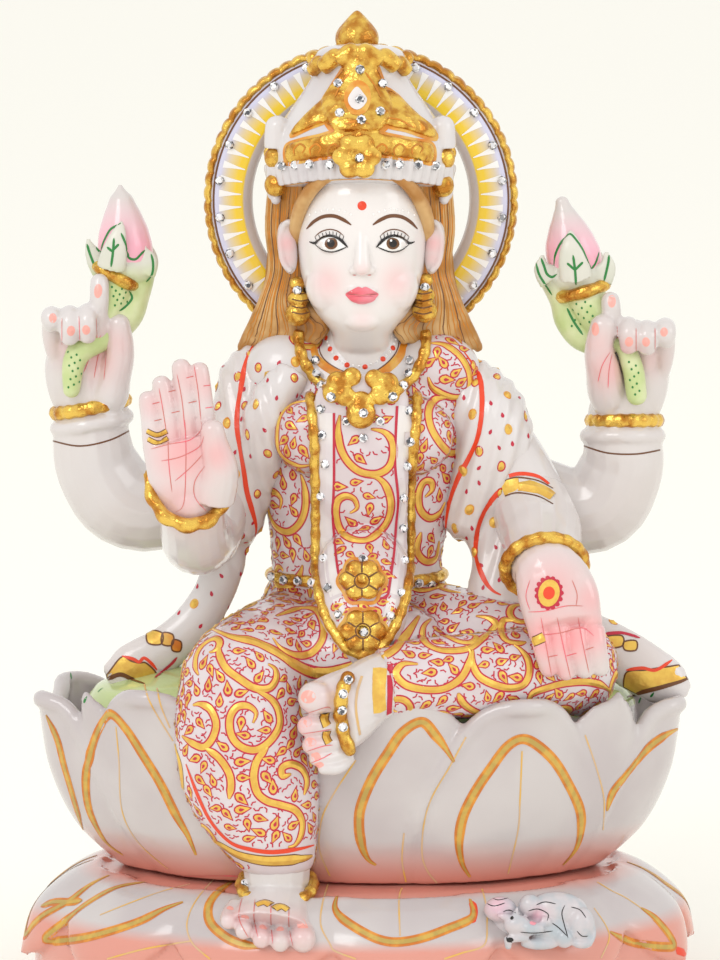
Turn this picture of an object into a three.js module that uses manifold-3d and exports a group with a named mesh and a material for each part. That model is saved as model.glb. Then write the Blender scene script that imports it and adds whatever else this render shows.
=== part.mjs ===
// A four-armed seated goddess on a lotus throne, carved from one block of white marble, with small
// foil-backed glass stones stuck on it. Millimetres, +Z up, the figure faces -Y, and the origin is
// the middle of the flat underside.
import * as THREE from "three";
import { mergeVertices } from "three/addons/utils/BufferGeometryUtils.js";
import Module from "manifold-3d";

const wasm = await Module();
wasm.setup();

// Lower lotus: the spreading foot of the block
const baseWidth = 206;
const baseDepth = 140;
const baseHeight = 43;

// Upper lotus: the bowl of petals that she sits in
const seatWidth = 196;
const seatDepth = 104;
const seatHeight = 52;
const podRise = 11; // how far the green seed pod swells above the rim

// Petals
const seatPetalThickness = 4.5;
const basePetalThickness = 4;
const petalLip = 5; // how far the seat petals' tips curl outwards

// The figure, from the rim of the seat to the tip of the halo's finial
const figureHeight = 210;
const crownTop = 199;
const jewelTip = 196.5;
const haloRadius = 48.3;
const haloOpening = 33;
const haloThickness = 6;

// Glass stones
const stoneDiameter = 3;
const stoneHeight = 1.4;
const stoneGap = 0.3; // left between a stone's foil and the marble, so that the two meshes stay apart

// Worked out from the sizes above
const seatTop = baseHeight + seatHeight;
const drawnHeight = 210; // the figure's tables below are drawn at this height
const k = figureHeight / drawnHeight;
const seatShare = seatDepth / 104; // the hanging leg and the feet stay on the front of the bowl
const V = (x, y, z) => new THREE.Vector3(x, y, z);

// A point of the figure: x to the right, y away from the viewer, z up from the rim of the seat. The
// heights are drawn as they look from slightly above, where what stands nearer looks lower.
const drawnFromAbove = THREE.MathUtils.degToRad(8);
const nearerIsLower = Math.tan(drawnFromAbove);
const figurePoint = ([x, y, z]) => V(x * k, y * k, seatTop + (z - y * nearerIsLower) * k);

// Solids

function solid(geometry) {
  const bare = geometry.index ? geometry.toNonIndexed() : geometry.clone();
  bare.deleteAttribute("normal");
  bare.deleteAttribute("uv");
  const merged = mergeVertices(bare, 1e-4);
  const vertProperties = merged.attributes.position.array;
  const triVerts = new Uint32Array(merged.index.array);
  const made = new wasm.Manifold(new wasm.Mesh({ numProp: 3, vertProperties, triVerts }));
  if (made.volume() > 0) return made;
  triVerts.reverse();
  return new wasm.Manifold(new wasm.Mesh({ numProp: 3, vertProperties, triVerts }));
}

// A closed skin over rings that all have the same number of points, with a point at each end.
function skin(rings, firstTip, lastTip) {
  const around = rings[0].length;
  const middle = (ring) => ring.reduce((sum, p) => sum.add(p), V(0, 0, 0)).divideScalar(around);
  const points = [...rings.flat(), firstTip ?? middle(rings[0]), lastTip ?? middle(rings.at(-1))];
  const last = (rings.length - 1) * around;
  const [firstPole, lastPole] = [points.length - 2, points.length - 1];
  const faces = [];
  for (let i = 0; i < around; i++) {
    const next = (i + 1) % around;
    faces.push(firstPole, next, i, lastPole, last + i, last + next);
    for (let start = 0; start < last; start += around) {
      const [a, b, c, d] = [start + i, start + next, start + around + i, start + around + next];
      faces.push(a, b, d, a, d, c);
    }
  }
  return solid(new THREE.BufferGeometry().setFromPoints(points).setIndex(faces));
}

// A level stack of ellipses: each row is [height, middle x, middle y, half width, half depth].
function stack(rows, sides, place = figurePoint) {
  const ring = ([z, x, y, wide, deep]) =>
    Array.from({ length: sides }, (_, i) => {
      const a = ((i + 0.5) * 2 * Math.PI) / sides;
      return place([x + wide * Math.cos(a), y + deep * Math.sin(a), z]);
    });
  return skin(rows.map(ring));
}

// A limb through stations [x, y, z, radius] or [x, y, z, half width, half thickness], flat at the
// buried start and rounded at the far end. The thickness is measured along the direction facing.
function limb(stations, { sides = 6, steps = 1, facing = V(0, 1, 0), place = figurePoint, pointed } = {}) {
  const path = new THREE.CatmullRomCurve3(stations.map(place), false, "centripetal");
  const sizes = new THREE.CatmullRomCurve3(
    stations.map(([, , , wide, thick = wide]) => V(wide * k, thick * k, 0)),
  );
  const count = (stations.length - 1) * steps;
  const ringAt = (u, shrink, along) => {
    const direction = path.getTangent(u);
    const across = V(0, 0, 0).crossVectors(direction, facing).normalize();
    const outward = V(0, 0, 0).crossVectors(across, direction).normalize();
    const size = sizes.getPoint(u);
    const centre = path.getPoint(u).addScaledVector(direction, along * Math.min(size.x, size.y));
    if (!shrink) return centre;
    return Array.from({ length: sides }, (_, i) => {
      const a = ((i + 0.5) * 2 * Math.PI) / sides;
      return centre
        .clone()
        .addScaledVector(across, size.x * shrink * Math.cos(a))
        .addScaledVector(outward, size.y * shrink * Math.sin(a));
    });
  };
  const shoulder = Math.SQRT1_2;
  const rings = [];
  for (let i = 0; i < count; i++) rings.push(ringAt(i / count, 1, 0));
  if (!pointed) rings.push(ringAt(1, 1, 0));
  rings.push(ringAt(1, shoulder, shoulder));
  return skin(rings, ringAt(0, 0, 0), ringAt(1, 0, 1));
}

// An ellipsoid: its middle, its three half sizes, and a lean about the Y axis in degrees.
function ball(middle, [wide, deep, high], { across = 7, up = 5, lean = 0 } = {}) {
  const shape = new THREE.SphereGeometry(1, across, up).rotateX(Math.PI / 2);
  shape.scale(wide * k, deep * k, high * k).rotateY(THREE.MathUtils.degToRad(lean));
  const p = figurePoint(middle);
  return solid(shape.translate(p.x, p.y, p.z));
}

// A turned shape: profile rows are [radius, height], on the upright through middle.
function turned(middle, profile, sides, { depthShare = 1 } = {}) {
  const outline = profile.map(([r, z]) => new THREE.Vector2(r * k, z * k));
  const shape = new THREE.LatheGeometry(outline, sides).rotateX(Math.PI / 2);
  shape.scale(1, depthShare, 1);
  const p = figurePoint(middle);
  return solid(shape.translate(p.x, p.y, p.z));
}

// A flat plaque cut from a THREE.Shape drawn in x and z, its back on the plane y.
function plaque(shape, y, thickness) {
  const settings = { depth: thickness, bevelEnabled: false, curveSegments: 2 };
  const slab = new THREE.ExtrudeGeometry(shape, settings).rotateX(Math.PI / 2);
  return solid(slab.translate(0, y, 0));
}

// Lotus throne

// The seat's bowl and the base's skirt as shares of their half width and height, from the waist
// where the two meet.
const seatProfile = [
  [0.7, 0],
  [0.84, 0.25],
  [0.92, 0.6],
  [0.93, 1],
];
const baseProfile = [
  [0.74, 1],
  [0.84, 0.9],
  [0.94, 0.68],
  [0.985, 0.36],
  [0.97, 0],
];

function alongProfile(profile, share) {
  const curve = new THREE.SplineCurve(profile.map(([r, h]) => new THREE.Vector2(r, h)));
  return curve.getPoint(share);
}

// An oval solid from a profile, closed flat at its first row and at its last.
function oval(profile, width, depth, floor, height, sides, crown = []) {
  const rows = [...profile, ...crown].map(([r, h]) => [
    floor + h * height,
    0,
    0,
    (r * width) / 2,
    (r * depth) / 2,
  ]);
  return stack(rows, sides, ([x, y, z]) => V(x, y, z));
}

// One petal that hugs an oval bowl: as wide as its neighbours need at the foot, pointed at the tip.
function petal({ profile, width, depth, floor, height, angle, spread, thickness, lift, lip, rows = 3 }) {
  const across = 3;
  const sunk = 3 * thickness;
  const rings = [];
  for (let row = 0; row <= rows; row++) {
    const v = row / rows;
    const { x: share, y: level } = alongProfile(profile, v);
    const half = spread * Math.max(0.07, Math.pow(Math.sin(Math.PI * Math.max(0.5, 0.2 + 0.8 * v)), 0.75));
    const place = (u, out) => {
      const t = THREE.MathUtils.degToRad(angle + u * half);
      return V(
        ((share * width) / 2 + out) * Math.cos(t),
        ((share * depth) / 2 + out) * Math.sin(t),
        floor + level * height,
      );
    };
    const curl = lip * Math.pow(v, 5);
    const ring = [];
    for (let i = 0; i < across; i++) {
      const u = (2 * i) / (across - 1) - 1;
      ring.push(place(u, lift + curl + thickness * (1 - 0.75 * u * u)));
    }
    ring.push(place(0.9, lift - sunk + curl), place(-0.9, lift - sunk + curl));
    rings.push(ring);
  }
  return skin(rings);
}

// Each seat petal: where its middle stands, in degrees on the oval, with 270 the middle of the
// front, its half width in degrees, and its height as a share of the seat's.
const seatPetals = [
  [229, 21, 1.13],
  [300, 21, 1.1],
  [343, 21, 1],
  [25, 24, 1],
  [70, 25, 1],
  [113, 25, 1],
  [155, 24, 1],
  [197, 21, 1.03],
];
const tuckedPetals = [
  [278, 20, 1.17],
  [320, 12, 1.06],
  [213, 11, 1.08],
];
const basePetals = 12;
const basePetalStart = 280;

function lotusThrone() {
  const seat = {
    profile: seatProfile,
    width: seatWidth,
    depth: seatDepth,
    floor: baseHeight,
    height: seatHeight,
    thickness: seatPetalThickness,
    lip: petalLip,
  };
  const base = {
    profile: baseProfile.slice(0, 4),
    width: baseWidth,
    depth: baseDepth,
    floor: 0,
    height: baseHeight,
    thickness: basePetalThickness,
    lip: 0,
  };
  const pod = podRise / seatHeight;
  const podCrown = [
    [0.75, 1 + 0.45 * pod],
    [0.35, 1 + pod],
  ];
  const inside = ([r, h]) => [r * 0.93, h];
  const pieces = [
    oval(baseProfile, baseWidth, baseDepth, 0, baseHeight, 20),
    oval(seatProfile.map(inside), seatWidth, seatDepth, baseHeight, seatHeight, 12, podCrown),
  ];
  for (const [angle, spread, tall] of seatPetals)
    pieces.push(petal({ ...seat, angle, spread, lift: 2.2, height: seatHeight * tall }));
  for (const [angle, spread, tall] of tuckedPetals)
    pieces.push(petal({ ...seat, angle, spread, lift: 0, height: seatHeight * tall, rows: 3 }));
  for (let i = 0; i < basePetals; i++) {
    const angle = basePetalStart + (i * 360) / basePetals;
    pieces.push(petal({ ...base, angle, spread: 18, lift: 0.4, rows: 2 }));
  }
  return pieces;
}

// Body and clothes

function torso() {
  const rows = [
    [4, 0, 6, 38, 25],
    [20, 0, 5, 34, 22],
    [35.5, -1, 4, 26, 17.5],
    [37, -1, 4, 28.2, 19.5],
    [40, -1, 4, 28.2, 19.5],
    [41.5, -1, 4, 26, 17.5],
    [60, 0, 3, 29.5, 19.5],
    [79, 1, 3, 34, 21],
    [92, 1.5, 4.5, 35.5, 18],
    [101, 1, 4, 31, 14],
    [108, 0.8, 3, 14, 12],
    [122, 0.6, 1, 11, 11],
  ];
  return [
    stack(rows, 12),
    ball([-13.5, -14, 79], [13, 10, 12]),
    ball([15.5, -14, 79], [13, 10, 12]),
    ball([-1, -19, 13], [31, 24, 17], { across: 12 }),
  ];
}

// The long panel down her front, round at its lower end, with a raised edge and two flowers.
function sash() {
  const middle = [
    [0.5, -22, 88, 15, 3.5],
    [0.5, -22.5, 76, 15, 3],
    [0.5, -15.5, 46, 14.5, 3.2],
    [1, -33, 27, 14, 3.2],
    [1.3, -43, 15, 9.5, 3],
  ];
  const edge = (side) =>
    middle.slice(0, 4).map(([x, y, z, wide]) => [x + side * (wide - 1.2), y - 2.4, z, 1.7]);
  return [
    limb(middle, { sides: 8 }),
    limb(edge(-1), { sides: 4 }),
    limb(edge(1), { sides: 4 }),
    flower([1, -20, 41.5], 6.6),
    flower([1.3, -44.5, 20], 6.8),
  ];
}

function flower([x, y, z], radius) {
  const petals = 5;
  const shape = new THREE.Shape();
  for (let i = 0; i < petals; i++) {
    const a = (i * 2 * Math.PI) / petals;
    const half = Math.PI / petals;
    const at = (angle, r) => [Math.cos(angle) * r * k, Math.sin(angle) * r * k];
    if (!i) shape.moveTo(...at(a - half, radius * 0.72));
    shape.quadraticCurveTo(...at(a - half * 0.5, radius * 1.15), ...at(a, radius));
    shape.quadraticCurveTo(...at(a + half * 0.5, radius * 1.15), ...at(a + half, radius * 0.72));
  }
  const p = figurePoint([x, y, z]);
  const slab = new THREE.ExtrudeGeometry(shape, { depth: 3.4 * k, bevelEnabled: false, curveSegments: 1 });
  return solid(slab.rotateX(Math.PI / 2).translate(p.x, p.y, p.z));
}

// Collar and pendant
function necklace() {
  const collar = [
    [-14, -8, 103, 3.4, 2],
    [-12.5, -16, 95, 3.4, 2],
    [-5, -22, 88, 3.2, 2.2],
    [1, -24.5, 85.5, 4.5, 2.5],
    [7, -22, 88, 3.2, 2.2],
    [14, -16, 95, 3.4, 2],
    [15.5, -8, 103, 3.4, 2],
  ];
  return [
    limb(collar, { sides: 4, facing: V(0, 0.8, -0.6) }),
    ball([1, -24.5, 80], [6.5, 3, 6.5], { across: 6, up: 4 }),
  ];
}

// The veil lies on both shoulders, comes down beside the arms, and its ends reach the rim.
function veil() {
  const back = [
    [22, 0, 20, 27, 9],
    [48, 0, 15, 27, 8],
    [80, 1, 16, 38, 11],
    [103, 1, 13, 28, 9],
  ];
  return [
    limb([
      [-22, 6, 103, 6],
      [-33, 4, 97.5, 9.6],
      [-34.4, 2, 87, 11],
      [-36, 1, 72, 10.6],
      [-38, 2, 53, 8, 7],
    ]),
    limb([
      [-38, 2, 54, 7, 6],
      [-42, 1, 38, 7, 5],
      [-50, 0, 23, 7.5, 5],
      [-63, -2, 11, 8, 4],
      [-72, -4, 7, 8.5, 4],
    ]),
    limb([
      [27, 7, 100, 8],
      [35, 5, 90, 12.4],
      [40, 2.5, 79, 13.2],
      [38, 0, 66, 11.4],
      [35, -1, 55, 8],
    ]),
    limb([[44, 0, 62, 10, 7], [44.5, -5, 42, 11.5, 6], [43, -10, 27, 11, 6]]),
    limb([[62, -6, 22, 8, 5], [79, -8, 12, 9, 5], [92, -10, 4, 9, 4]]),
    stack(back, 10),
  ];
}

// Hanging leg and folded leg. The shin hangs over the front of the bowl, so it takes its depth from
// the seat and its heights as shares of the seat's rim, and its foot stands on the lower lotus.
const legPlace = ([x, y, share]) =>
  V(x * k, y * seatShare * k, share * seatTop - y * seatShare * nearerIsLower * k);

function hangingLeg() {
  const toes = [
    [-39.3, 2.4, -65],
    [-34.6, 2.5, -67.8],
    [-29, 2.7, -68.8],
    [-23.4, 2.9, -68.8],
    [-16.8, 3.9, -67],
  ];
  const inLeg = { place: legPlace };
  const shin = [
    [0.35, -24.5, -47, 10, 9.5],
    [0.365, -24.6, -47, 11.8, 11.2],
    [0.405, -24.8, -47, 11.8, 11.2],
    [0.425, -25, -47, 10, 9.5],
    [0.49, -26, -47, 12.8, 12],
    [0.6, -30.5, -48, 18.3, 15],
    [0.74, -33.3, -48, 21.6, 16.5],
    [0.9, -34.5, -46.5, 21.2, 17],
    [1.03, -36, -44, 18.5, 17],
    [1.115, -36, -41, 14, 14],
  ];
  const foot = [
    [-24, -45, 0.337, 9.5, 7],
    [-26, -56, 0.3, 12.5, 6],
    [-27.7, -64, 0.26, 13.5, 4.5],
  ];
  const pieces = [
    stack(shin, 10, legPlace),
    limb([[-14, 4, 14, 20], [-27, -22, 9, 19.5], [-35.5, -42, 4, 18.5]], { sides: 8 }),
    limb(foot, { ...inLeg, facing: V(0, 0, 1), sides: 6 }),
  ];
  for (const [x, r, y] of toes) {
    const toe = [[x * 0.95, y + 9, 0.262, r], [x, y, 0.235, r * 1.1]];
    pieces.push(limb(toe, { ...inLeg, sides: 4, pointed: true }));
  }
  return pieces;
}

function foldedLeg() {
  const toes = [
    [0.6, 4.8, -18],
    [-7.9, 3.2, -18],
    [-13.6, 2.8, -16.8],
    [-17.4, 2.2, -15],
    [-20.2, 1.9, -12.8],
  ];
  const shinAndFoot = [
    [63, -25, 8, 14],
    [42, -37, 6.5, 13.5],
    [15, -46.5, 5.5, 11.5],
    [5.5, -50, 3.6, 10.3, 9],
    [3.8, -50.8, 3.2, 12.2, 10.5],
    [0.6, -52.3, 2.4, 12.2, 10.5],
    [-1, -53.3, 0.6, 10.3, 8.5],
    [-7.5, -57.5, -5, 12.5, 6],
  ];
  const pieces = [
    limb([[14, 2, 15, 20], [38, -13, 12.5, 18], [63, -22, 8, 15.5]], { sides: 8 }),
    limb(shinAndFoot, { sides: 8 }),
  ];
  for (const [z, r, tip] of toes) {
    const toe = [[-5, -58, z * 0.9, r], [tip, -63.5, z, r * 1.1]];
    pieces.push(limb(toe, { sides: 4, pointed: true }));
  }
  return pieces;
}

// Arms and hands

function finger(from, to, radius) {
  return limb([[...from, radius * 1.2], [...to, radius * 1.2]], { sides: 4, pointed: true });
}

// The hand raised in blessing, on the viewer's left: palm forward, fingers up. Its arm comes
// forwards, so the sizes are half thickness, then half width.
function blessingArm() {
  const arm = [
    [-34, 5, 88, 12],
    [-41, 2, 70, 11.5],
    [-47, -8, 49, 11],
    [-49.5, -24, 48, 10.5],
    [-50, -33, 53, 9.8],
    [-50, -36, 56.5, 12.8],
    [-50.3, -38, 59.5, 9.8, 11],
    [-51.2, -42, 68, 6.4, 12.4],
    [-52.2, -43, 79, 4.8, 12],
  ];
  // x at the palm and at the tip, and the height of the tip
  const fingers = [
    [-61.4, -63, 88.6],
    [-56, -58.6, 93.2],
    [-50.6, -53, 98.2],
    [-45.2, -47.6, 97],
  ];
  return [
    limb(arm, { sides: 6, facing: V(1, 0, 0) }),
    ...fingers.map(([from, to, top]) => finger([from, -43, 76], [to, -43, top], 3)),
    limb([[-43, -43, 62, 6], [-41, -46.5, 72, 4.8], [-43, -48.5, 80, 3.8]], { sides: 5 }),
  ];
}

// The giving hand, on the viewer's right: palm forward, fingers down over the knee.
function givingArm() {
  const arm = [
    [33, 5, 88, 12.5],
    [46, 2, 70, 12.3],
    [53.5, -6, 54, 12.8],
    [55.5, -20, 47, 12],
    [55.5, -32, 43, 10.5],
    [55.8, -35.5, 42, 13],
    [56, -38.5, 40.5, 10.5],
    [58.6, -44.5, 33, 6.8, 12.4],
    [61.6, -47, 20, 5, 11.6],
  ];
  const fingers = [
    [53.4, 56.2, 9.6],
    [59, 61.4, 8.4],
    [64.6, 66.9, 8.8],
    [69.8, 71.4, 9.4],
  ];
  return [
    limb(arm, { sides: 6, facing: V(1, 0, 0) }),
    ...fingers.map(([from, to, low]) => finger([from, -47, 21], [to, -48.5, low], 2.9)),
    limb([[65, -43, 39, 4.6], [69, -45.5, 31, 4.2], [70.2, -46.5, 25, 3.4]], { sides: 5 }),
  ];
}

// A rear arm, raised beside the head, with a gilt bangle over a plain cuff. side is -1 on the
// viewer's left and 1 on the right.
function rearArm(side, { elbow, wrist, palm, knuckles, index, thumb }) {
  const [x, y, z] = wrist;
  const arm = [
    [side * 27, 14, 74, 13],
    [side * 50, 15, 61.5, 12.5],
    [...elbow, 13.8],
    [side * 80, 14, 68, 13],
    [x, y, z - 3.6, 12],
    [x, y, z - 0.5, 13.8],
    [x, y, z + 2.2, 11.8],
    [x, y, z + 4.8, 13.4],
    [x, y, z + 7.2, 11.2],
    [...palm, 12.2, 8],
    [palm[0], palm[1] - 2, palm[2] + 10, 11.4, 6.5],
  ];
  const pieces = [limb(arm, { sides: 6 }), finger(...index, 3)];
  for (const [at, low, high] of knuckles) pieces.push(finger([at, 2, low], [at, 1, high], 3));
  if (thumb) pieces.push(limb(thumb, { sides: 5, pointed: true }));
  return pieces;
}

// A lotus bud on a thick curved stem that passes through the hand, with a gilt ring and sepals.
function lotusBud({ tip, cup, neck, stemTop, stemEnd, lean }) {
  const [x, y, z] = cup;
  const upward = (share, radius) => [
    x + (tip[0] - x) * share,
    y + (tip[1] - y) * share,
    z + (tip[2] - z) * share,
    radius,
  ];
  const bud = [
    [...stemEnd, 3.4],
    [...stemTop, 4.2],
    [...neck, 6.4],
    [x + lean * 2, y, z - 12, 7.2],
    [x + lean, y, z - 9.2, 9],
    [x + lean, y, z - 6.6, 7.6],
    [x, y, z, 9.4],
    upward(0.26, 8.7),
    upward(0.52, 6.4),
    upward(0.8, 2.9),
    upward(1, 0.9),
  ];
  const sepal = (offset, high) =>
    limb(
      [
        [x + offset * 0.85, y - 6, z - 3, 4.6, 2.4],
        [x + offset, y - 6.4, z + high * 0.6, 3.4, 1.8],
        [x + offset * 0.95, y - 4.8, z + high, 0.9, 0.9],
      ],
      { sides: 4, pointed: true },
    );
  return [limb(bud), sepal(0, 9.5), sepal(-8, 4.5), sepal(8, 4.5)];
}

// Head, hair and crown

function head() {
  const face = [
    [110, 0.6, 0, 8, 8],
    [114, 0.6, -7, 9, 12],
    [119, 0.6, -6, 13.8, 15.5],
    [126, 0.6, -4, 17.5, 18],
    [134, 0.6, -3, 19.3, 19.5],
    [143, 0.6, -2, 20, 20.3],
    [159, 0.6, -1, 18, 18.4],
  ];
  const small = { across: 6, up: 4 };
  return [
    stack(face, 12),
    limb([[0.6, -22, 138, 1.5], [0.6, -24, 130, 2.5]], { sides: 5 }),
    ball([-22.2, -1, 136.5], [3, 3.4, 9], { ...small, lean: -8 }),
    ball([23, -1, 136.5], [3, 3.4, 9], { ...small, lean: 8 }),
    ball([-18.9, -4.5, 119.5], [3.8, 3.6, 6.4], small),
    ball([19.6, -4.5, 120.5], [3.8, 3.6, 6.4], small),
  ];
}

function hair() {
  const rows = [
    [104, -1, 13, 34, 11],
    [109, -1, 11, 36.4, 13],
    [117, 0, 9, 30.5, 15],
    [128, 0, 8, 27.5, 16],
    [141, 0, 8, 28.5, 17],
    [160, 0, 6, 25.5, 17.6],
  ];
  return [stack(rows, 10)];
}

function crown() {
  const depthShare = 0.87;
  const middle = [0, 1.5, 0];
  const profile = [
    [0, 157.5],
    [27.2, 158],
    [28, 163],
    [26.8, 170.5],
    [18.5, 182],
    [13.5, 189.5],
    [14.8, 192.5],
    [14, 196],
    [0, crownTop],
  ];
  // The jewel on its front: a drop, from its tip round its wide foot and back
  const jewel = new THREE.Shape();
  const p = ([x, z]) => [x * k, seatTop + z * k];
  const rightSide = [[5, 189], [9, 183], [12.5, 175.5], [7, 170]];
  const foot = [0, 166.5];
  const leftSide = rightSide.map(([x, z]) => [-x, z]).reverse();
  const drop = [...rightSide, foot, ...leftSide, [0, jewelTip]];
  jewel.moveTo(...p([0, jewelTip]));
  for (let i = 0; i < drop.length; i += 2)
    jewel.quadraticCurveTo(...p(drop[i]), ...p(drop[i + 1]));
  const pieces = [
    turned(middle, profile, 14, { depthShare }),
    plaque(jewel, figurePoint([0, -12.5, 0]).y, 11.5 * k),
    flower([0, -22, 162], 6.8),
  ];
  for (const side of [-1, 1])
    pieces.push(
      limb([[side * 24.5, -6, 166, 3.6], [side * 24, -6, 176, 3.4]], { sides: 5, pointed: true }),
      limb([[side * 21.5, -12, 171, 2.6], [side * 13, -17, 178.5, 3.2]], { sides: 4 }),
      ball([side * 25.8, -5, 165.3], [3.7, 3.7, 3.7], { across: 6, up: 4 }),
      ball([side * 25.6, -5, 156], [3.8, 3.8, 4.2], { across: 6, up: 4 }),
    );
  return pieces;
}

// The ring behind her head, joined to the back of her crown, and the gilt finial on top of it.
const haloMiddle = [0.3, 18, 152.4];

function halo() {
  const centre = figurePoint(haloMiddle);
  const outline = new THREE.Shape();
  const point = (angle, r) => [
    centre.x + Math.cos(angle) * r * k,
    centre.z + Math.sin(angle) * r * k,
  ];
  const round = (target, sides, radius, turn) => {
    for (let i = 0; i < sides; i++) {
      const at = point((turn * i * 2 * Math.PI) / sides, radius);
      if (i) target.lineTo(...at);
      else target.moveTo(...at);
    }
    return target;
  };
  round(outline, 40, haloRadius, 1);
  outline.holes.push(round(new THREE.Path(), 20, haloOpening, -1));
  const finial = [
    [0, 0],
    [5, 0.2],
    [6.5, 3],
    [6.6, 5.3],
    [4.6, 8.6],
    [1.6, 11.6],
    [0, 12.8],
  ];
  const top = haloMiddle[2] + haloRadius - 3;
  return [
    plaque(outline, centre.y + (haloThickness * k) / 2, haloThickness * k),
    turned([haloMiddle[0], haloMiddle[1], top], finial, 8),
    ball([haloMiddle[0], 11, 189], [9, 8, 8], { across: 6, up: 4 }),
  ];
}

// The little animal lying at her feet, with its head turned back over its shoulder
function restingCalf() {
  const level = baseHeight * 0.7;
  const y = (-baseDepth / 2) * 0.84;
  const x = baseWidth * 0.235;
  const form = (dx, dy, dz, size, turn = 0) => {
    const shape = new THREE.SphereGeometry(1, 6, 4).scale(...size);
    shape.rotateY(THREE.MathUtils.degToRad(turn));
    return solid(shape.translate(x + dx, y + dy, level + dz));
  };
  return [
    form(3.5, 1.5, 4.5, [12.5, 6, 6.2]),
    form(12, -1, 3.6, [5.6, 5.5, 6], 20),
    form(-9.5, 1, 5.5, [6.5, 5, 5.5]),
    form(-5, -2.5, 6.3, [5.4, 4.4, 5]),
    form(-4.5, -4.5, 0.8, [8.5, 3, 2.6]),
  ];
}

// Glass stones

// Each stone is given as seen from the front: x, and height above the rim of the seat.
function stonePlaces() {
  const places = [];
  const haloStones = 24;
  const haloRing = haloRadius * 0.9;
  for (let i = 0; i < haloStones; i++) {
    const angle = THREE.MathUtils.degToRad(90 + (i + 0.5) * (360 / haloStones));
    const x = haloMiddle[0] + haloRing * Math.cos(angle);
    const z = haloMiddle[2] + haloRing * Math.sin(angle);
    const clearOfHair = z > haloMiddle[2] - haloRadius * 0.72;
    const clearOfCrown = Math.abs(x) > 15;
    if (clearOfHair && clearOfCrown) places.push(["halo_stone", x, z]);
  }
  const jewel = [[0, 189], [-5.6, 184.3], [6, 184.3], [0, 180], [-6, 176], [6, 176.5], [0.4, 174]];
  for (const [x, z] of jewel) places.push(["crown_jewel_stone", x, z]);
  places.push(["crown_flower_stone", 0, 162.5]);
  for (const x of [-22.6, -19, -14.8, -9, 7.8, 11.8, 17.2, 22]) places.push(["crown_brim_stone", x, 160.8]);
  places.push(["earring_stone", -18.9, 123.5], ["earring_stone", 19.6, 124.5]);
  const collar = [
    [-13.6, 101.5],
    [-13.2, 97.5],
    [-11.6, 93.8],
    [-8.6, 90.5],
    [15, 101.5],
    [14.6, 97.5],
    [13, 93.8],
    [9.8, 90.5],
  ];
  for (const [x, z] of collar) places.push(["necklace_stone", x, z]);
  for (const [x, z] of [[1, 85.5], [-4, 83.5], [6, 83.5], [1, 78.5]]) places.push(["pendant_stone", x, z]);
  places.push(["sash_flower_stone", 1, 41.5], ["sash_flower_stone", 1.3, 20]);
  return places;
}

// A cut stone: a table, a sloping crown down to the girdle, and a flat foil back.
function stoneGeometry() {
  const r = stoneDiameter / 2;
  const profile = [
    [0, 0],
    [r, 0],
    [r * 0.62, stoneHeight],
    [0, stoneHeight],
  ];
  return new THREE.LatheGeometry(profile.map(([x, z]) => new THREE.Vector2(x, z)), 5).rotateX(Math.PI / 2);
}

// Sets a stone on the marble as a jeweller would: square to the surface behind it, and clear of it.
function setStone(caster, marbleMesh, x, z) {
  const start = figurePoint([x, -baseDepth, z]);
  const away = V(0, Math.cos(drawnFromAbove), -Math.sin(drawnFromAbove));
  const hitFrom = (from, direction) => {
    caster.set(from, direction);
    return caster.intersectObject(marbleMesh)[0];
  };
  const reach = stoneDiameter * 0.42;
  const samples = [];
  for (let i = 0; i < 6; i++) {
    const a = (i * Math.PI) / 3;
    const from = start.clone().add(V(reach * Math.cos(a), 0, reach * Math.sin(a)));
    const hit = hitFrom(from, away);
    if (hit) samples.push(hit.point);
  }
  const centre = hitFrom(start, away).point;
  const normal = V(0, 0, 0);
  samples.forEach((point, i) => {
    const next = samples[(i + 1) % samples.length];
    normal.add(point.clone().sub(centre).cross(next.clone().sub(centre)));
  });
  normal.normalize();
  if (normal.y > 0) normal.negate();
  const r = stoneDiameter / 2;
  const side = V(0, 0, 1).cross(normal).normalize();
  const up = normal.clone().cross(side);
  let highest = -Infinity;
  for (let ring = 0; ring <= 3; ring++)
    for (let i = 0; i < 12; i++) {
      const a = (i * Math.PI) / 6;
      const above = centre
        .clone()
        .addScaledVector(side, ((r * ring) / 3) * Math.cos(a))
        .addScaledVector(up, ((r * ring) / 3) * Math.sin(a))
        .addScaledVector(normal, 8);
      const hit = hitFrom(above, normal.clone().negate());
      if (hit) highest = Math.max(highest, 8 - hit.distance);
    }
  const seat = centre.clone().addScaledVector(normal, highest + stoneGap);
  return { seat, normal };
}

// Putting it together

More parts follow.
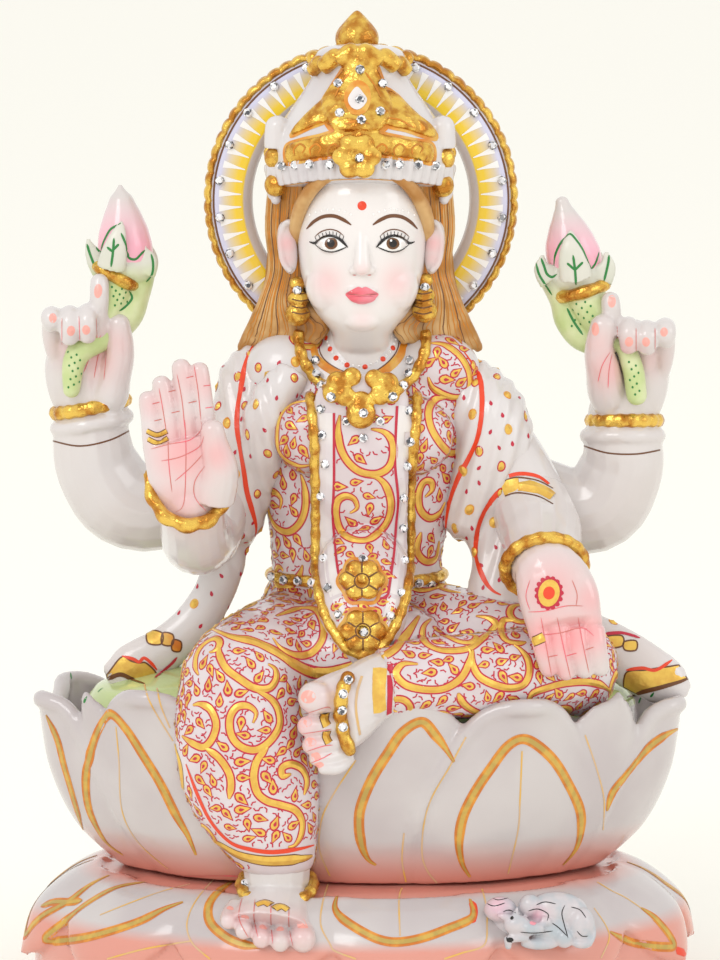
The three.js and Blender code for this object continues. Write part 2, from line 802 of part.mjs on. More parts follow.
const marbleSolid = wasm.Manifold.union([
  ...lotusThrone(),
  ...torso(),
  ...sash(),
  ...necklace(),
  ...veil(),
  ...hangingLeg(),
  ...foldedLeg(),
  ...blessingArm(),
  ...givingArm(),
  ...rearArm(-1, {
    elbow: [-70, 15, 57.5],
    wrist: [-82.5, 12, 82],
    palm: [-84.2, 10, 103],
    knuckles: [[-93, 110, 117.5], [-88, 106.5, 116.5], [-83.2, 107.5, 118]],
    index: [[-79, 2, 113], [-78, 3, 125.5]],
  }),
  ...rearArm(1, {
    elbow: [71.5, 15, 56.5],
    wrist: [81, 12, 80.5],
    palm: [82.4, 10, 101.5],
    knuckles: [[92.5, 107, 114.5], [87, 103.5, 112.5], [81.8, 104.5, 113]],
    index: [[75, 4, 112], [74, 3, 120.5]],
    thumb: [[74, 3, 98, 4.2], [72.8, -1, 106, 3.6], [73.5, -2, 110, 3.2]],
  }),
  ...lotusBud({
    tip: [-73, 8, 156],
    cup: [-71.5, 8, 134],
    neck: [-70, 9, 118.6],
    stemTop: [-77, 3, 112],
    stemEnd: [-87.5, -0.5, 92],
    lean: 1,
  }),
  ...lotusBud({
    tip: [62, 8, 153],
    cup: [66, 8, 132],
    neck: [65.5, 9, 116],
    stemTop: [73, 3, 108],
    stemEnd: [86, -0.5, 90],
    lean: -1,
  }),
  ...head(),
  ...hair(),
  ...crown(),
  ...halo(),
  ...restingCalf(),
]);

function meshOf(made) {
  const { numProp, vertProperties, triVerts, numVert } = made.getMesh();
  const position = new Float32Array(numVert * 3);
  for (let i = 0; i < numVert; i++)
    position.set(vertProperties.subarray(i * numProp, i * numProp + 3), i * 3);
  return new THREE.BufferGeometry()
    .setAttribute("position", new THREE.BufferAttribute(position, 3))
    .setIndex(new THREE.BufferAttribute(triVerts, 1));
}

const marble = new THREE.MeshStandardMaterial({ color: 0xe9e2dc, roughness: 0.35 });
const glass = new THREE.MeshStandardMaterial({ color: 0xf4f6f8, roughness: 0.05, metalness: 0.4 });

const statue = new THREE.Group();
const carving = new THREE.Mesh(meshOf(marbleSolid), marble);
carving.name = "marble_carving";
statue.add(carving);

const caster = new THREE.Raycaster();
carving.updateMatrixWorld();
const counts = {};
for (const [name, x, z] of stonePlaces()) {
  counts[name] = (counts[name] ?? 0) + 1;
  const { seat, normal } = setStone(caster, carving, x, z);
  const stone = new THREE.Mesh(stoneGeometry(), glass);
  stone.name = name + "_" + counts[name];
  stone.position.copy(seat);
  stone.quaternion.setFromUnitVectors(V(0, 0, 1), normal);
  statue.add(stone);
}

export default statue;
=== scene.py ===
import math
import random

import bpy
from mathutils import Matrix, Vector
from mathutils.bvhtree import BVHTree


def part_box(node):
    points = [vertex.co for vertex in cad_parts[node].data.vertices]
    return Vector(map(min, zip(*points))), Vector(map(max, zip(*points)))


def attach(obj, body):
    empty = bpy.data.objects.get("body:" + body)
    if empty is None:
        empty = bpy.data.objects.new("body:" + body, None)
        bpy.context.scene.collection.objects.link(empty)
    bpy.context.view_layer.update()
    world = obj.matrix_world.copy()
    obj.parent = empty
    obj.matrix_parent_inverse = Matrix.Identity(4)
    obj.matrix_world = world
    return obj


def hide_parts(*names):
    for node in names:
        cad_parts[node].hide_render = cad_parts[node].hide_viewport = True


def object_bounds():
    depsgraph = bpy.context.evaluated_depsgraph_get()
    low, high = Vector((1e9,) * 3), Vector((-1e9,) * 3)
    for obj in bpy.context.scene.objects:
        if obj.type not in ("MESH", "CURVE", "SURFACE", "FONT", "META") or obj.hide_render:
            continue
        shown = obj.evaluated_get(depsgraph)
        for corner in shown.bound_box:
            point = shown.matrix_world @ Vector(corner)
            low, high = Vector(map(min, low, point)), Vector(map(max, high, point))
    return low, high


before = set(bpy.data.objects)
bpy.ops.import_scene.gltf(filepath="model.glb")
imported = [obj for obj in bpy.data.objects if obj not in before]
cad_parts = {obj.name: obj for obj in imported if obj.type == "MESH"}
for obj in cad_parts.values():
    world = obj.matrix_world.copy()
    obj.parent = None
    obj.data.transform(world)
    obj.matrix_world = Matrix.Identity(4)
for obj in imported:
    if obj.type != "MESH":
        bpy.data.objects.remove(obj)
cadLow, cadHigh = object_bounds()

# The tables below are in millimetres, drawn for a figure this tall
drawnHeight = 303
unit = (cadHigh.z - cadLow.z) / drawnHeight
seatRim = 95  # height of the seat's rim over the underside
lookDown = math.radians(8)
slope = math.tan(lookDown)
random.seed(4)


def at(x, y, v):
    # a place on the figure; v is its height over the rim as it looks from the front
    return Vector((x, y, seatRim + v - y * slope)) * unit


def spot(x, y, z):
    return Vector((x, y, z)) * unit


# ---- camera, as the picture was taken: a little above, straight in front
camera = {
    "lens": 200,
    "sensor": 36,
    "distance": 1628,
    "aimHeight": 160.5,
    "wide": 720,
    "high": 960,
}


def addCamera():
    bpy.ops.object.camera_add()
    cam = bpy.context.object
    cam.name = "camera"
    cam.data.lens = camera["lens"]
    cam.data.sensor_width = camera["sensor"]
    cam.data.clip_end = 20
    aim = spot(0, 0, camera["aimHeight"])
    away = Vector((0, -math.cos(lookDown), math.sin(lookDown)))
    cam.location = aim + away * camera["distance"] * unit
    cam.rotation_euler = (-away).to_track_quat("-Z", "Y").to_euler()
    bpy.context.scene.camera = cam
    return cam


mmPerPixel = 0.305
cam = addCamera()
camTurn = cam.rotation_euler.to_matrix()


def photoRay(px, py):
    # the line of sight through a place in the picture
    perPixel = camera["sensor"] / camera["lens"] / camera["high"]
    across = (px - camera["wide"] / 2) * perPixel
    upward = (camera["high"] / 2 - py) * perPixel
    return cam.location.copy(), (camTurn @ Vector((across, upward, -1))).normalized()


def photoPlace(place):
    # where a place on the figure shows in the picture
    local = camTurn.transposed() @ (place - cam.location)
    perPixel = camera["sensor"] / camera["lens"] / camera["high"]
    return camera["wide"] / 2 - local.x / local.z / perPixel, camera["high"] / 2 + local.y / local.z / perPixel


# ---- modelling helpers
def dropAll():
    if bpy.context.mode != "OBJECT":
        bpy.ops.object.mode_set(mode="OBJECT")
    bpy.ops.object.select_all(action="DESELECT")


def pick(obj):
    dropAll()
    obj.select_set(True)
    bpy.context.view_layer.objects.active = obj


def settle(obj):
    pick(obj)
    bpy.ops.object.transform_apply(location=True, rotation=True, scale=True)
    return obj


def applyModifier(obj, kind, **values):
    pick(obj)
    modifier = obj.modifiers.new(kind.lower(), kind)
    for key, value in values.items():
        setattr(modifier, key, value)
    bpy.ops.object.modifier_apply(modifier=modifier.name)
    return obj


def ball(x, y, v, wide, deep, high, lean=0):
    dropAll()
    bpy.ops.mesh.primitive_uv_sphere_add(segments=24, ring_count=14, radius=unit, location=at(x, y, v))
    obj = bpy.context.object
    obj.scale = (wide, deep, high)
    obj.rotation_euler = (0, math.radians(lean), 0)
    return settle(obj)


def limb(points, flat=1.0, flatAlong=1, place=at, roundEnd=True, sides=5):
    # a tapering limb through places (x, y, v, radius), squashed along one axis where flat is under 1
    places = [place(*p[:3]) for p in points]
    radii = [p[3] for p in points]
    if roundEnd:
        onward = (places[-1] - places[-2]).normalized() * unit
        last = radii[-1]
        for along, share in ((0.5, 0.87), (0.85, 0.53), (1.0, 0.05)):
            places.append(places[len(points) - 1] + onward * last * along)
            radii.append(last * share)
    middle = sum(places, Vector()) / len(places)
    dropAll()
    bpy.ops.curve.primitive_bezier_curve_add(location=middle)
    obj = bpy.context.object
    curve = obj.data
    curve.splines.clear()
    spline = curve.splines.new("BEZIER")
    spline.bezier_points.add(len(places) - 1)
    spline.radius_interpolation = "CARDINAL"
    for point, where, radius in zip(spline.bezier_points, places, radii):
        local = where - middle
        local[flatAlong] /= flat
        point.co = local
        point.handle_left_type = point.handle_right_type = "AUTO"
        point.radius = radius
    curve.resolution_u = 5
    curve.bevel_depth = unit
    curve.bevel_resolution = sides
    curve.use_fill_caps = True
    size = [1, 1, 1]
    size[flatAlong] = flat
    obj.scale = size
    pick(obj)
    bpy.ops.object.convert(target="MESH")
    return settle(bpy.context.object)


def hoop(centre, axis, wide, deep, radius, beads=22, swell=0.16, steps=66, arc=(0, 360)):
    # a gilt bangle: a ring of small beads about a limb
    turn = axis.normalized().to_track_quat("Z", "Y")
    start, stop = (math.radians(a) for a in arc)
    points = []
    for i in range(steps + (0 if arc == (0, 360) else 1)):
        t = i / steps
        angle = start + (stop - start) * t
        local = Vector((math.cos(angle) * wide, math.sin(angle) * deep, 0))
        size = radius * (1 + swell * math.cos(beads * angle))
        points.append((centre + (turn @ local) * unit, size))
    whole = arc == (0, 360)
    dropAll()
    bpy.ops.curve.primitive_bezier_curve_add(location=centre)
    obj = bpy.context.object
    curve = obj.data
    curve.splines.clear()
    spline = curve.splines.new("POLY")
    spline.points.add(len(points) - 1)
    for point, (where, size) in zip(spline.points, points):
        point.co = (*(where - centre), 1)
        point.radius = size
    spline.use_cyclic_u = whole
    curve.bevel_depth = unit
    curve.bevel_resolution = 2
    curve.use_fill_caps = not whole
    pick(obj)
    bpy.ops.object.convert(target="MESH")
    return settle(bpy.context.object)


def tower(rows, place=at, sides=32, smooth=2):
    # level ellipses drawn up one after another: (height, x, y, half width, half depth)
    first = rows[0]
    centre = place(first[1], first[2], first[0])
    dropAll()
    bpy.ops.mesh.primitive_circle_add(vertices=sides, radius=unit, fill_type="NGON", location=centre)
    obj = bpy.context.object
    bpy.ops.object.mode_set(mode="EDIT")
    bpy.ops.mesh.select_all(action="SELECT")
    bpy.ops.transform.resize(value=(first[3], first[4], 1), center_override=centre)
    for before, row in zip(rows, rows[1:]):
        here = place(row[1], row[2], row[0])
        bpy.ops.mesh.extrude_region_move(TRANSFORM_OT_translate={"value": here - centre})
        grow = (row[3] / before[3], row[4] / before[4], 1)
        bpy.ops.transform.resize(value=grow, center_override=here)
        centre = here
    bpy.ops.mesh.select_all(action="SELECT")
    bpy.ops.mesh.normals_make_consistent(inside=False)
    bpy.ops.object.mode_set(mode="OBJECT")
    settle(obj)
    if smooth:
        applyModifier(obj, "SUBSURF", levels=smooth, render_levels=smooth)
    return obj


def fuse(name, parts, grain, smoothing=4, share=0.4):
    # the parts are joined, drawn into one skin with this grain, rubbed smooth and thinned to this share of faces
    pick(parts[0])
    for part in parts:
        part.select_set(True)
    bpy.ops.object.join()
    obj = bpy.context.object
    obj.name = name
    obj.data.name = name
    applyModifier(obj, "REMESH", mode="VOXEL", voxel_size=grain * unit, adaptivity=0)
    if smoothing:
        applyModifier(obj, "SMOOTH", factor=0.5, iterations=smoothing)
    if share < 1:
        applyModifier(obj, "DECIMATE", ratio=share)
    pick(obj)
    bpy.ops.object.shade_smooth()
    return obj


def meshFrom(name, points, faces):
    data = bpy.data.meshes.new(name)
    data.from_pydata([tuple(p) for p in points], [], faces)
    data.validate()
    obj = bpy.data.objects.new(name, data)
    bpy.context.scene.collection.objects.link(obj)
    return obj


def keep(obj, material):
    obj.data.materials.clear()
    obj.data.materials.append(material)
    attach(obj, "root")
    pieces.append(obj)
    return obj


pieces = []


# ---- lotus throne
seat = {
    "wide": 196,
    "deep": 104,
    "floor": 43,
    "tall": 52,
    "profile": [(0.7, 0), (0.84, 0.25), (0.92, 0.6), (0.93, 1)],
    # middle of each petal in degrees (270 is the front), half width in degrees, height share, lift
    "petals": [
        (229, 21, 1.13, 2.2), (300, 21, 1.1, 2.2), (343, 21, 1, 2.2), (25, 24, 1, 2.2),
        (70, 25, 1, 2.2), (113, 25, 1, 2.2), (155, 24, 1, 2.2), (197, 21, 1.03, 2.2),
    ],
    "tucked": [(278, 20, 1.17, 0), (321, 17, 1.1, 1.4), (213, 11, 1.08, 0)],
    "thick": 4.5,
    "lip": 5,
    "roll": 2.8,
}
base = {
    "wide": 206,
    "deep": 140,
    "floor": 0,
    "tall": 43,
    "profile": [(0.74, 1), (0.84, 0.9), (0.94, 0.68), (0.985, 0.36)],
    "skirt": [(0.985, 0.36), (0.97, 0)],
    "count": 12,
    "first": 280,
    "spread": 18,
    "thick": 4,
    "lip": 0,
}
podRise = 11


def alongProfile(profile, share):
    # a smooth curve through the profile's rows
    last = len(profile) - 1
    i = min(int(share * last), last - 1)
    t = share * last - i
    rows = [profile[max(i - 1, 0)], profile[i], profile[i + 1], profile[min(i + 2, last)]]
    out = []
    for a, b, c, d in zip(*rows):
        out.append(0.5 * (2 * b + (c - a) * t + (2 * a - 5 * b + 4 * c - d) * t * t
                          + (3 * b - a - 3 * c + d) * t ** 3))
    return out


def petalPlace(bowl, angle, spread, tall, lift, u, v, out=0.0):
    # u runs across the petal from -1 to 1, v from its foot to its tip
    share, level = alongProfile(bowl["profile"], v)
    half = spread * max(0.02, math.sin(math.pi * max(0.5, 0.2 + 0.8 * v)) ** 0.62)
    turn = math.radians(angle + u * half)
    curl = bowl["lip"] * v ** 5
    belly = bowl["thick"] * (1 - 0.75 * u * u)
    reach = lift + curl + belly + out
    return spot(
        (share * bowl["wide"] / 2 + reach) * math.cos(turn),
        (share * bowl["deep"] / 2 + reach) * math.sin(turn),
        bowl["floor"] + level * bowl["tall"] * tall,
    )


def petalShell(bowl, angle, spread, tall, lift, wall):
    # one petal: a sheet is pressed to the bowl and then given its wall
    across, along = 14, 18
    dropAll()
    bpy.ops.mesh.primitive_grid_add(x_subdivisions=across, y_subdivisions=along, size=2)
    obj = bpy.context.object
    for point in obj.data.vertices:
        u, v = point.co.x, (point.co.y + 1) / 2
        point.co = petalPlace(bowl, angle, spread, tall, lift, u, v)
    pick(obj)
    bpy.ops.object.mode_set(mode="EDIT")
    bpy.ops.mesh.select_all(action="SELECT")
    bpy.ops.mesh.normals_make_consistent(inside=False)
    bpy.ops.object.mode_set(mode="OBJECT")
    middle = obj.data.polygons[len(obj.data.polygons) // 2]
    outward = middle.center.x * middle.normal.x + middle.center.y * middle.normal.y
    applyModifier(obj, "SOLIDIFY", thickness=wall * unit, offset=-1 if outward > 0 else 1)
    return obj


def petalMargin(bowl, angle, spread, tall, lift, radius):
    # the rolled edge of a petal, from low on one side over the tip to the other
    rows = [(-0.92, v) for v in (0.2, 0.4, 0.6, 0.75, 0.86, 0.93)] + [(0, 0.975)]
    rows += [(0.92, v) for v in (0.93, 0.86, 0.75, 0.6, 0.4, 0.2)]
    points = []
    for u, v in rows:
        place = petalPlace(bowl, angle, spread, tall, lift, u, v, -1.4) / unit
        points.append((*place, radius * (0.6 if v < 0.3 else 1)))
    return limb(points, place=spot, roundEnd=False, sides=3)


def buildSeat():
    rows = [(seat["floor"] + h * seat["tall"], 0, 0, r * 0.95 * seat["wide"] / 2, r * 0.95 * seat["deep"] / 2)
            for r, h in seat["profile"]]
    top = seat["floor"] + seat["tall"]
    for r, rise in ((0.78, 0.45), (0.55, 0.8), (0.3, 0.97), (0.06, 1.0)):
        rows.append((top + rise * podRise, 0, 0, r * seat["wide"] / 2, r * seat["deep"] / 2))
    parts = [tower([(37, 0, 0, 66, 34)] + rows, place=spot, sides=64, smooth=1)]
    for angle, spread, tall, lift in seat["petals"]:
        parts.append(petalShell(seat, angle, spread, tall, lift, 3.4))
        parts.append(petalMargin(seat, angle, spread, tall, lift, seat["roll"]))
    for angle, spread, tall, lift in seat["tucked"]:
        parts.append(petalShell(seat, angle, spread, tall, lift, 3.4))
    return fuse("lotusSeat", parts, 1.0, 3)


def buildBase():
    rows = []
    for r, h in [(0.05, 0), (0.5, 0), (0.93, 0), (0.968, 0.01), (0.97, 0.2), (0.985, 0.36), (0.94, 0.68),
                 (0.84, 0.9), (0.74, 1), (0.4, 1.0)]:
        rows.append((h * base["tall"], 0, 0, r * base["wide"] / 2, r * base["deep"] / 2))
    parts = [tower(rows, place=spot, sides=72, smooth=1)]
    step = 360 / base["count"]
    for i in range(base["count"]):
        parts.append(petalShell(base, base["first"] + i * step, base["spread"], 1, 0.4, 3))
    return fuse("lowerLotus", parts, 1.0, 3)


print("throne")
seatPiece = buildSeat()
basePiece = buildBase()


# ---- body
body = {
    "torso": [
        (4, 0, 6, 38, 25), (20, 0, 5, 34, 22), (34, -1, 4, 26, 17.5), (44, -1, 3.6, 26, 17.5),
        (60, 0, 3, 29.5, 19.5), (79, 1, 3, 33, 20.5), (92, 1.5, 4.5, 34, 17.6), (100, 1, 4, 29, 14.6),
        (106, 1, 4, 15, 12), (112, 0.8, 3, 11, 11), (124, 0.6, 1, 11, 11),
    ],
    "breasts": [(-13.5, -14, 79, 13, 10, 12), (15.5, -14, 79, 13, 10, 12)],
    "shoulders": [(-22, 1, 99, 14, 11, 12, -8), (23, 1, 99, 14, 11, 12, 8)],
    "lap": (-1, -19, 13, 31, 24, 17),
    "armLeft": [(-26, 5, 91, 10), (-35, 4, 83, 11), (-41, 2, 70, 11.2), (-47, -8, 49, 11)],
    "armRight": [(29, 5, 90, 10), (38, 4, 81, 11.4), (45.4, 2, 70, 12), (52.5, -5, 55, 12.4), (54, -12, 50, 12)],
}


def buildTorso():
    parts = [tower(body["torso"])]
    for row in body["breasts"] + body["shoulders"]:
        parts.append(ball(*row))
    return fuse("blouse", parts, 0.9, 8)


def buildUpperArms():
    return fuse("upperArms", [limb(body["armLeft"], sides=7), limb(body["armRight"], sides=7)], 0.9, 6)


print("body")
torsoPiece = buildTorso()
upperArmPiece = buildUpperArms()

sash = {
    "middle": [
        (0.5, -20, 90, 14.5), (0.5, -22.5, 76, 14.5), (0.5, -17.5, 58, 14), (0.5, -16, 46, 14),
        (1, -24, 36, 14), (1, -34, 26, 13.5), (1.2, -41, 17, 9), (1.3, -43.5, 12, 4),
    ],
}


def buildSash():
    return fuse("sash", [limb(sash["middle"], flat=0.22, roundEnd=False, sides=7)], 0.6, 3)


sashPiece = buildSash()

# ---- legs in their skirt; the shin's heights are shares of the seat's rim
legs = {
    "shin": [
        (0.44, -25.2, -47, 10.5, 10), (0.47, -25.6, -47, 12, 11.2), (0.5, -26.5, -47.5, 13.5, 12),
        (0.6, -30.5, -48, 18.3, 15), (0.74, -33.3, -48, 21.6, 16.5), (0.9, -34.5, -46.5, 21.2, 17),
        (1.03, -36, -44, 19, 17), (1.1, -36, -41.5, 15, 15), (1.15, -36, -41, 7, 8),
    ],
    "thighLeft": [(-14, 4, 14, 20), (-27, -22, 9, 19.5), (-35.5, -42, 4, 18.5)],
    "thighRight": [(14, 2, 15, 20), (38, -13, 12.5, 18), (63, -22, 8, 15.5)],
    "shinRight": [(63, -25, 8, 14), (42, -37, 6.5, 13.5), (15, -46.5, 5.5, 11.8), (6.5, -49.5, 4, 10.8)],
}


def shinPlace(x, y, share):
    return Vector((x, y, share * seatRim - y * slope)) * unit


def buildSkirt():
    parts = [
        tower(legs["shin"], place=shinPlace),
        limb(legs["thighLeft"]),
        limb(legs["thighRight"]),
        limb(legs["shinRight"], roundEnd=False),
        ball(*body["lap"]),
        tower([(2, 0, 6, 36, 22), (4, 0, 6, 38, 25), (20, 0, 5, 34.5, 22.5), (34, -1, 4, 27, 18.5), (37, -1, 4, 26, 17)]),
    ]
    return fuse("skirt", parts, 0.9, 10)


skirtPiece = buildSkirt()

veil = {
    "leftShoulder": [(-22, 6, 104, 5.5), (-32.6, 5, 98, 9.4), (-34, 3, 88, 10.8), (-35.4, 1, 76, 11.6), (-36.4, 0.5, 64, 11.2),
                     (-38, 1, 54, 9)],
    "leftBust": [(-20, -6, 99, 6), (-27, -9, 88, 7), (-29, -10, 78, 7), (-30, -6, 66, 5)],
    "leftFall": [(-39, 2, 56, 7), (-42, 1, 38, 6.5), (-48, 0, 25, 6.6), (-58, -2, 14.5, 7), (-66, -3.5, 9.5, 7.6),
                 (-72, -4.6, 6.5, 7), (-77.4, -5.4, 4.6, 4)],
    "rightShoulder": [(26, 6, 101, 7), (34.5, 4, 91, 12), (39.5, 1.4, 80, 13.4), (38, -0.5, 68, 12.2), (33.5, -1, 55, 9)],
    "rightFall": [(36, 0, 62, 9), (43, -4, 44, 9.5), (43, -10, 27, 11)],
    "rightEnd": [(62, -6, 22, 7), (79, -8, 12, 8.4), (92, -9.6, 4, 8), (97, -10.4, 1.8, 6), (100.4, -10.8, 0.6, 2.4)],
    "back": [(20, 0, 20, 24, 9), (48, 0, 15, 23.5, 8), (80, 1, 16, 38, 10.5), (97, 1, 14, 33, 9), (103, 1, 13, 24, 7)],
}


def buildVeil():
    parts = [
        limb(veil["leftShoulder"]),
        limb(veil["leftBust"], sides=7),
        limb(veil["leftFall"], flat=0.62, roundEnd=False),
        limb(veil["rightShoulder"]),
        limb(veil["rightFall"], flat=0.66),
        limb(veil["rightEnd"], flat=0.55, roundEnd=False),
        tower(veil["back"]),
    ]
    obj = fuse("veil", parts, 0.9, 8, 1)
    outward = [vertex.normal.copy() for vertex in obj.data.vertices]
    for vertex, normal in zip(obj.data.vertices, outward):
        # soft folds down from the shoulders
        x, y, z = vertex.co / unit
        depth = 0.34 * max(0, min(1, (abs(x) - 22) / 6)) * max(0, min(1, (z - 128) / 10))
        vertex.co += normal * depth * math.sin(1.3 * abs(x) - 0.34 * z) * unit
    return applyModifier(obj, "DECIMATE", ratio=0.45)


veilPiece = buildVeil()


# ---- hands and arms
def finger(points, radius):
    # a finger with a slightly broader tip joint
    places = [(*p, radius * (1.06 if i == 0 else 1 if i < len(points) - 1 else 0.96)) for i, p in enumerate(points)]
    return limb(places)


blessing = {
    "arm": [(-44, -2, 56, 11), (-47.5, -10, 49, 11), (-49.5, -22, 47.5, 10.5), (-50, -32, 52, 9.8), (-50.2, -39, 58.5, 9.4)],
    "palm": [(-50.4, -40, 58, 10.4), (-50.8, -42.5, 65, 12), (-51.6, -43, 72, 12.4), (-53, -43, 78, 12)],
    "fingers": [
        [(-61.4, -43, 76), (-62, -43.6, 83), (-62.8, -43, 89.4)],
        [(-56, -43.2, 77), (-57.2, -44, 86), (-58.8, -43.2, 94)],
        [(-50.6, -43.2, 77), (-51.6, -44, 88), (-53, -43.2, 99)],
        [(-45.2, -43, 76), (-46.2, -43.8, 87), (-47.6, -43, 98)],
    ],
    "radius": 3.0,
    "thumb": [(-43.6, -43.4, 60, 6.6), (-41.6, -46.6, 69, 5.6), (-43, -48.6, 76, 4.2), (-43.6, -49, 80, 3.7)],
}
giving = {
    "arm": [(52, -3, 58, 12.3), (54.6, -12, 50, 12.6), (55.2, -22, 45, 11.6), (55.2, -32, 40, 10.6), (55.6, -38, 37.6, 9.8)],
    "palm": [(55.4, -38.5, 39, 9.6), (57.4, -42, 35, 11.2), (59.4, -45, 29, 11.8), (61.4, -47, 20, 11.2)],
    "fingers": [
        [(53.4, -46.6, 21), (54.4, -48.2, 15), (56.2, -47.6, 9)],
        [(59, -47.2, 21), (59.8, -49, 14), (61.4, -48.6, 8)],
        [(64.6, -47.2, 21), (65.4, -49, 14), (66.9, -48.6, 8.6)],
        [(69.8, -46.6, 21), (70.6, -48.2, 15), (71.6, -47.6, 9.2)],
    ],
    "radius": 2.95,
    "thumb": [(63.5, -42.5, 38, 4.6), (67, -45, 31, 4.2), (68.6, -46.6, 24, 3.2)],
}


def buildHand(name, hand, grain=0.5):
    parts = [limb(hand["arm"], sides=7), limb(hand["palm"], flat=0.44, roundEnd=False, sides=7)]
    for points in hand["fingers"]:
        parts.append(finger(points, hand["radius"]))
    parts.append(limb(hand["thumb"]))
    return fuse(name, parts, grain, 3)


print("hands")
blessingPiece = buildHand("blessingHand", blessing)
givingPiece = buildHand("givingHand", giving)

rearLeft = {
    "side": -1,
    "elbow": (-70, 15, 57.5),
    "wrist": (-82.5, 12, 82),
    "palm": (-84.2, 9.5, 102),
    # x, lowest and highest of each folded finger
    "curled": [(-93.6, 110.5, 119), (-88.1, 106.4, 119), (-82.6, 107, 119.6)],
    "index": [(-79.6, 2, 108), (-79.4, -1.4, 116), (-79, -2.4, 122), (-79, -1.6, 126)],
    "thumb": [(-79, 9.6, 85, 3.5), (-77, 6, 91, 6), (-75, 4, 97, 5.2), (-73, 1.6, 105, 4.4), (-73.4, 0.4, 113, 3.7)],
    "cuff": (-82.4, 12, 83.4),
    "tilt": (-0.18, 0.05, 1),
}
rearRight = {
    "side": 1,
    "elbow": (71.5, 15, 56.5),
    "wrist": (81, 12, 80.5),
    "palm": (82.4, 9.5, 100.5),
    "curled": [(92.7, 105.6, 115.4), (87.1, 103.4, 114.6), (81.5, 103.8, 115.6)],
    "index": [(76.6, 2, 106), (76.4, -1, 113), (76.2, -2, 118), (76, -1.4, 120.4)],
    "thumb": [(78, 9, 84, 3.5), (76, 5.4, 91, 6), (74, -0.4, 99, 5.4), (72.6, -3.6, 106, 4.5), (73.6, -4.6, 112.4, 4)],
    "cuff": (80.8, 12, 79.2),
    "tilt": (0, 0.12, 1),
}


def buildRearArm(name, arm):
    side = arm["side"]
    x, y, v = arm["wrist"]
    px, py, pv = arm["palm"]
    parts = [
        limb([(side * 40, 14.5, 67, 12.4), (side * 52, 15, 61, 12.6), (*arm["elbow"], 13.8), (side * 80, 14, 68, 13.2),
              (x, y, v - 3, 12), (x, y, v + 6, 11), (px, py + 1, pv - 6, 10)], sides=7),
        limb([(x, y, v + 6, 10.5), (px, py, pv - 6, 12), (px, py - 1, pv + 1, 12), (px, py - 2, pv + 5, 9.6)], flat=0.66,
             sides=7),
    ]
    for x0, low, high in arm["curled"]:
        # a finger folded forwards over the stem, its tip back on the palm
        parts.append(limb([(x0 - side * 1.6, 8, low - 11, 2.4), (x0, 4.4, low - 2, 3.2), (x0, 1, high - 4, 3.3), (x0, -3.2, high - 3.4, 3.2),
                           (x0, -5.4, (low + high) / 2, 3.2), (x0, -4.6, low + 3, 2.9)]))
    parts.append(finger(arm["index"], 3.05))
    parts.append(limb(arm["thumb"]))
    parts.append(hoop(at(*arm["cuff"]), Vector(arm["tilt"]), 11, 10.8, 2.4, swell=0.06, beads=7))
    return fuse(name, parts, 0.6, 5)


rearLeftPiece = buildRearArm("rearHandLeft", rearLeft)
rearRightPiece = buildRearArm("rearHandRight", rearRight)

# ---- feet
feet = {
    "standing": [(-24.5, -45, 36, 9.6), (-25, -50, 34.4, 10.4), (-26.2, -56, 30, 12), (-27.4, -61.6, 26.6, 12.4)],
    "standingToes": [
        # x, radius, y and height of the tip
        (-39, 2.5, -64.6, 28.4), (-34.4, 2.7, -66.6, 25.6), (-29.2, 2.8, -68, 23.2), (-23.6, 2.9, -68.6, 22.2),
        (-16.9, 4, -67.2, 23),
    ],
    "folded": [(6, -50, 3, 10.2), (0, -52.8, 0, 10.4), (-5, -55.5, -3, 11.6), (-9.4, -58, -5.6, 12)],
    "foldedToes": [
        # height, radius and tip
        (0.6, 5, -18.4), (-7.9, 3.2, -18.6), (-13.6, 2.9, -17.2), (-17.6, 2.3, -15.2), (-20.6, 2, -12.6),
    ],
}


def footPlace(x, y, v):
    return at(x, y, v - seatRim)


def buildFeet():
    parts = [limb(feet["standing"], flat=0.6, flatAlong=2, place=footPlace, roundEnd=False, sides=7)]
    parts.append(limb([(-24.6, -46.5, 33, 9.4), (-25, -47, 46, 10.4)], place=footPlace, roundEnd=False))
    for x, r, y, v in feet["standingToes"]:
        parts.append(limb([(x * 0.95, y + 10, v + 4, r), (x, y + 4, v + 1.4, r), (x, y, v, r * 0.98)], place=footPlace))
    standing = fuse("standingFoot", parts, 0.5, 3)
    parts = [limb(feet["folded"], flat=0.6, roundEnd=False, sides=7)]
    parts.append(limb([(14, -46.8, 5, 10.6), (6, -49.6, 3.4, 10), (1, -52, 1, 9.8)]))
    for v, r, tip in feet["foldedToes"]:
        parts.append(limb([(-3, -56, v * 0.85, r), (tip + 6, -60.6, v, r), (tip + r, -62.4, v, r)]))
    folded = fuse("foldedFoot", parts, 0.5, 3)
    return standing, folded


print("feet")
standingPiece, foldedPiece = buildFeet()

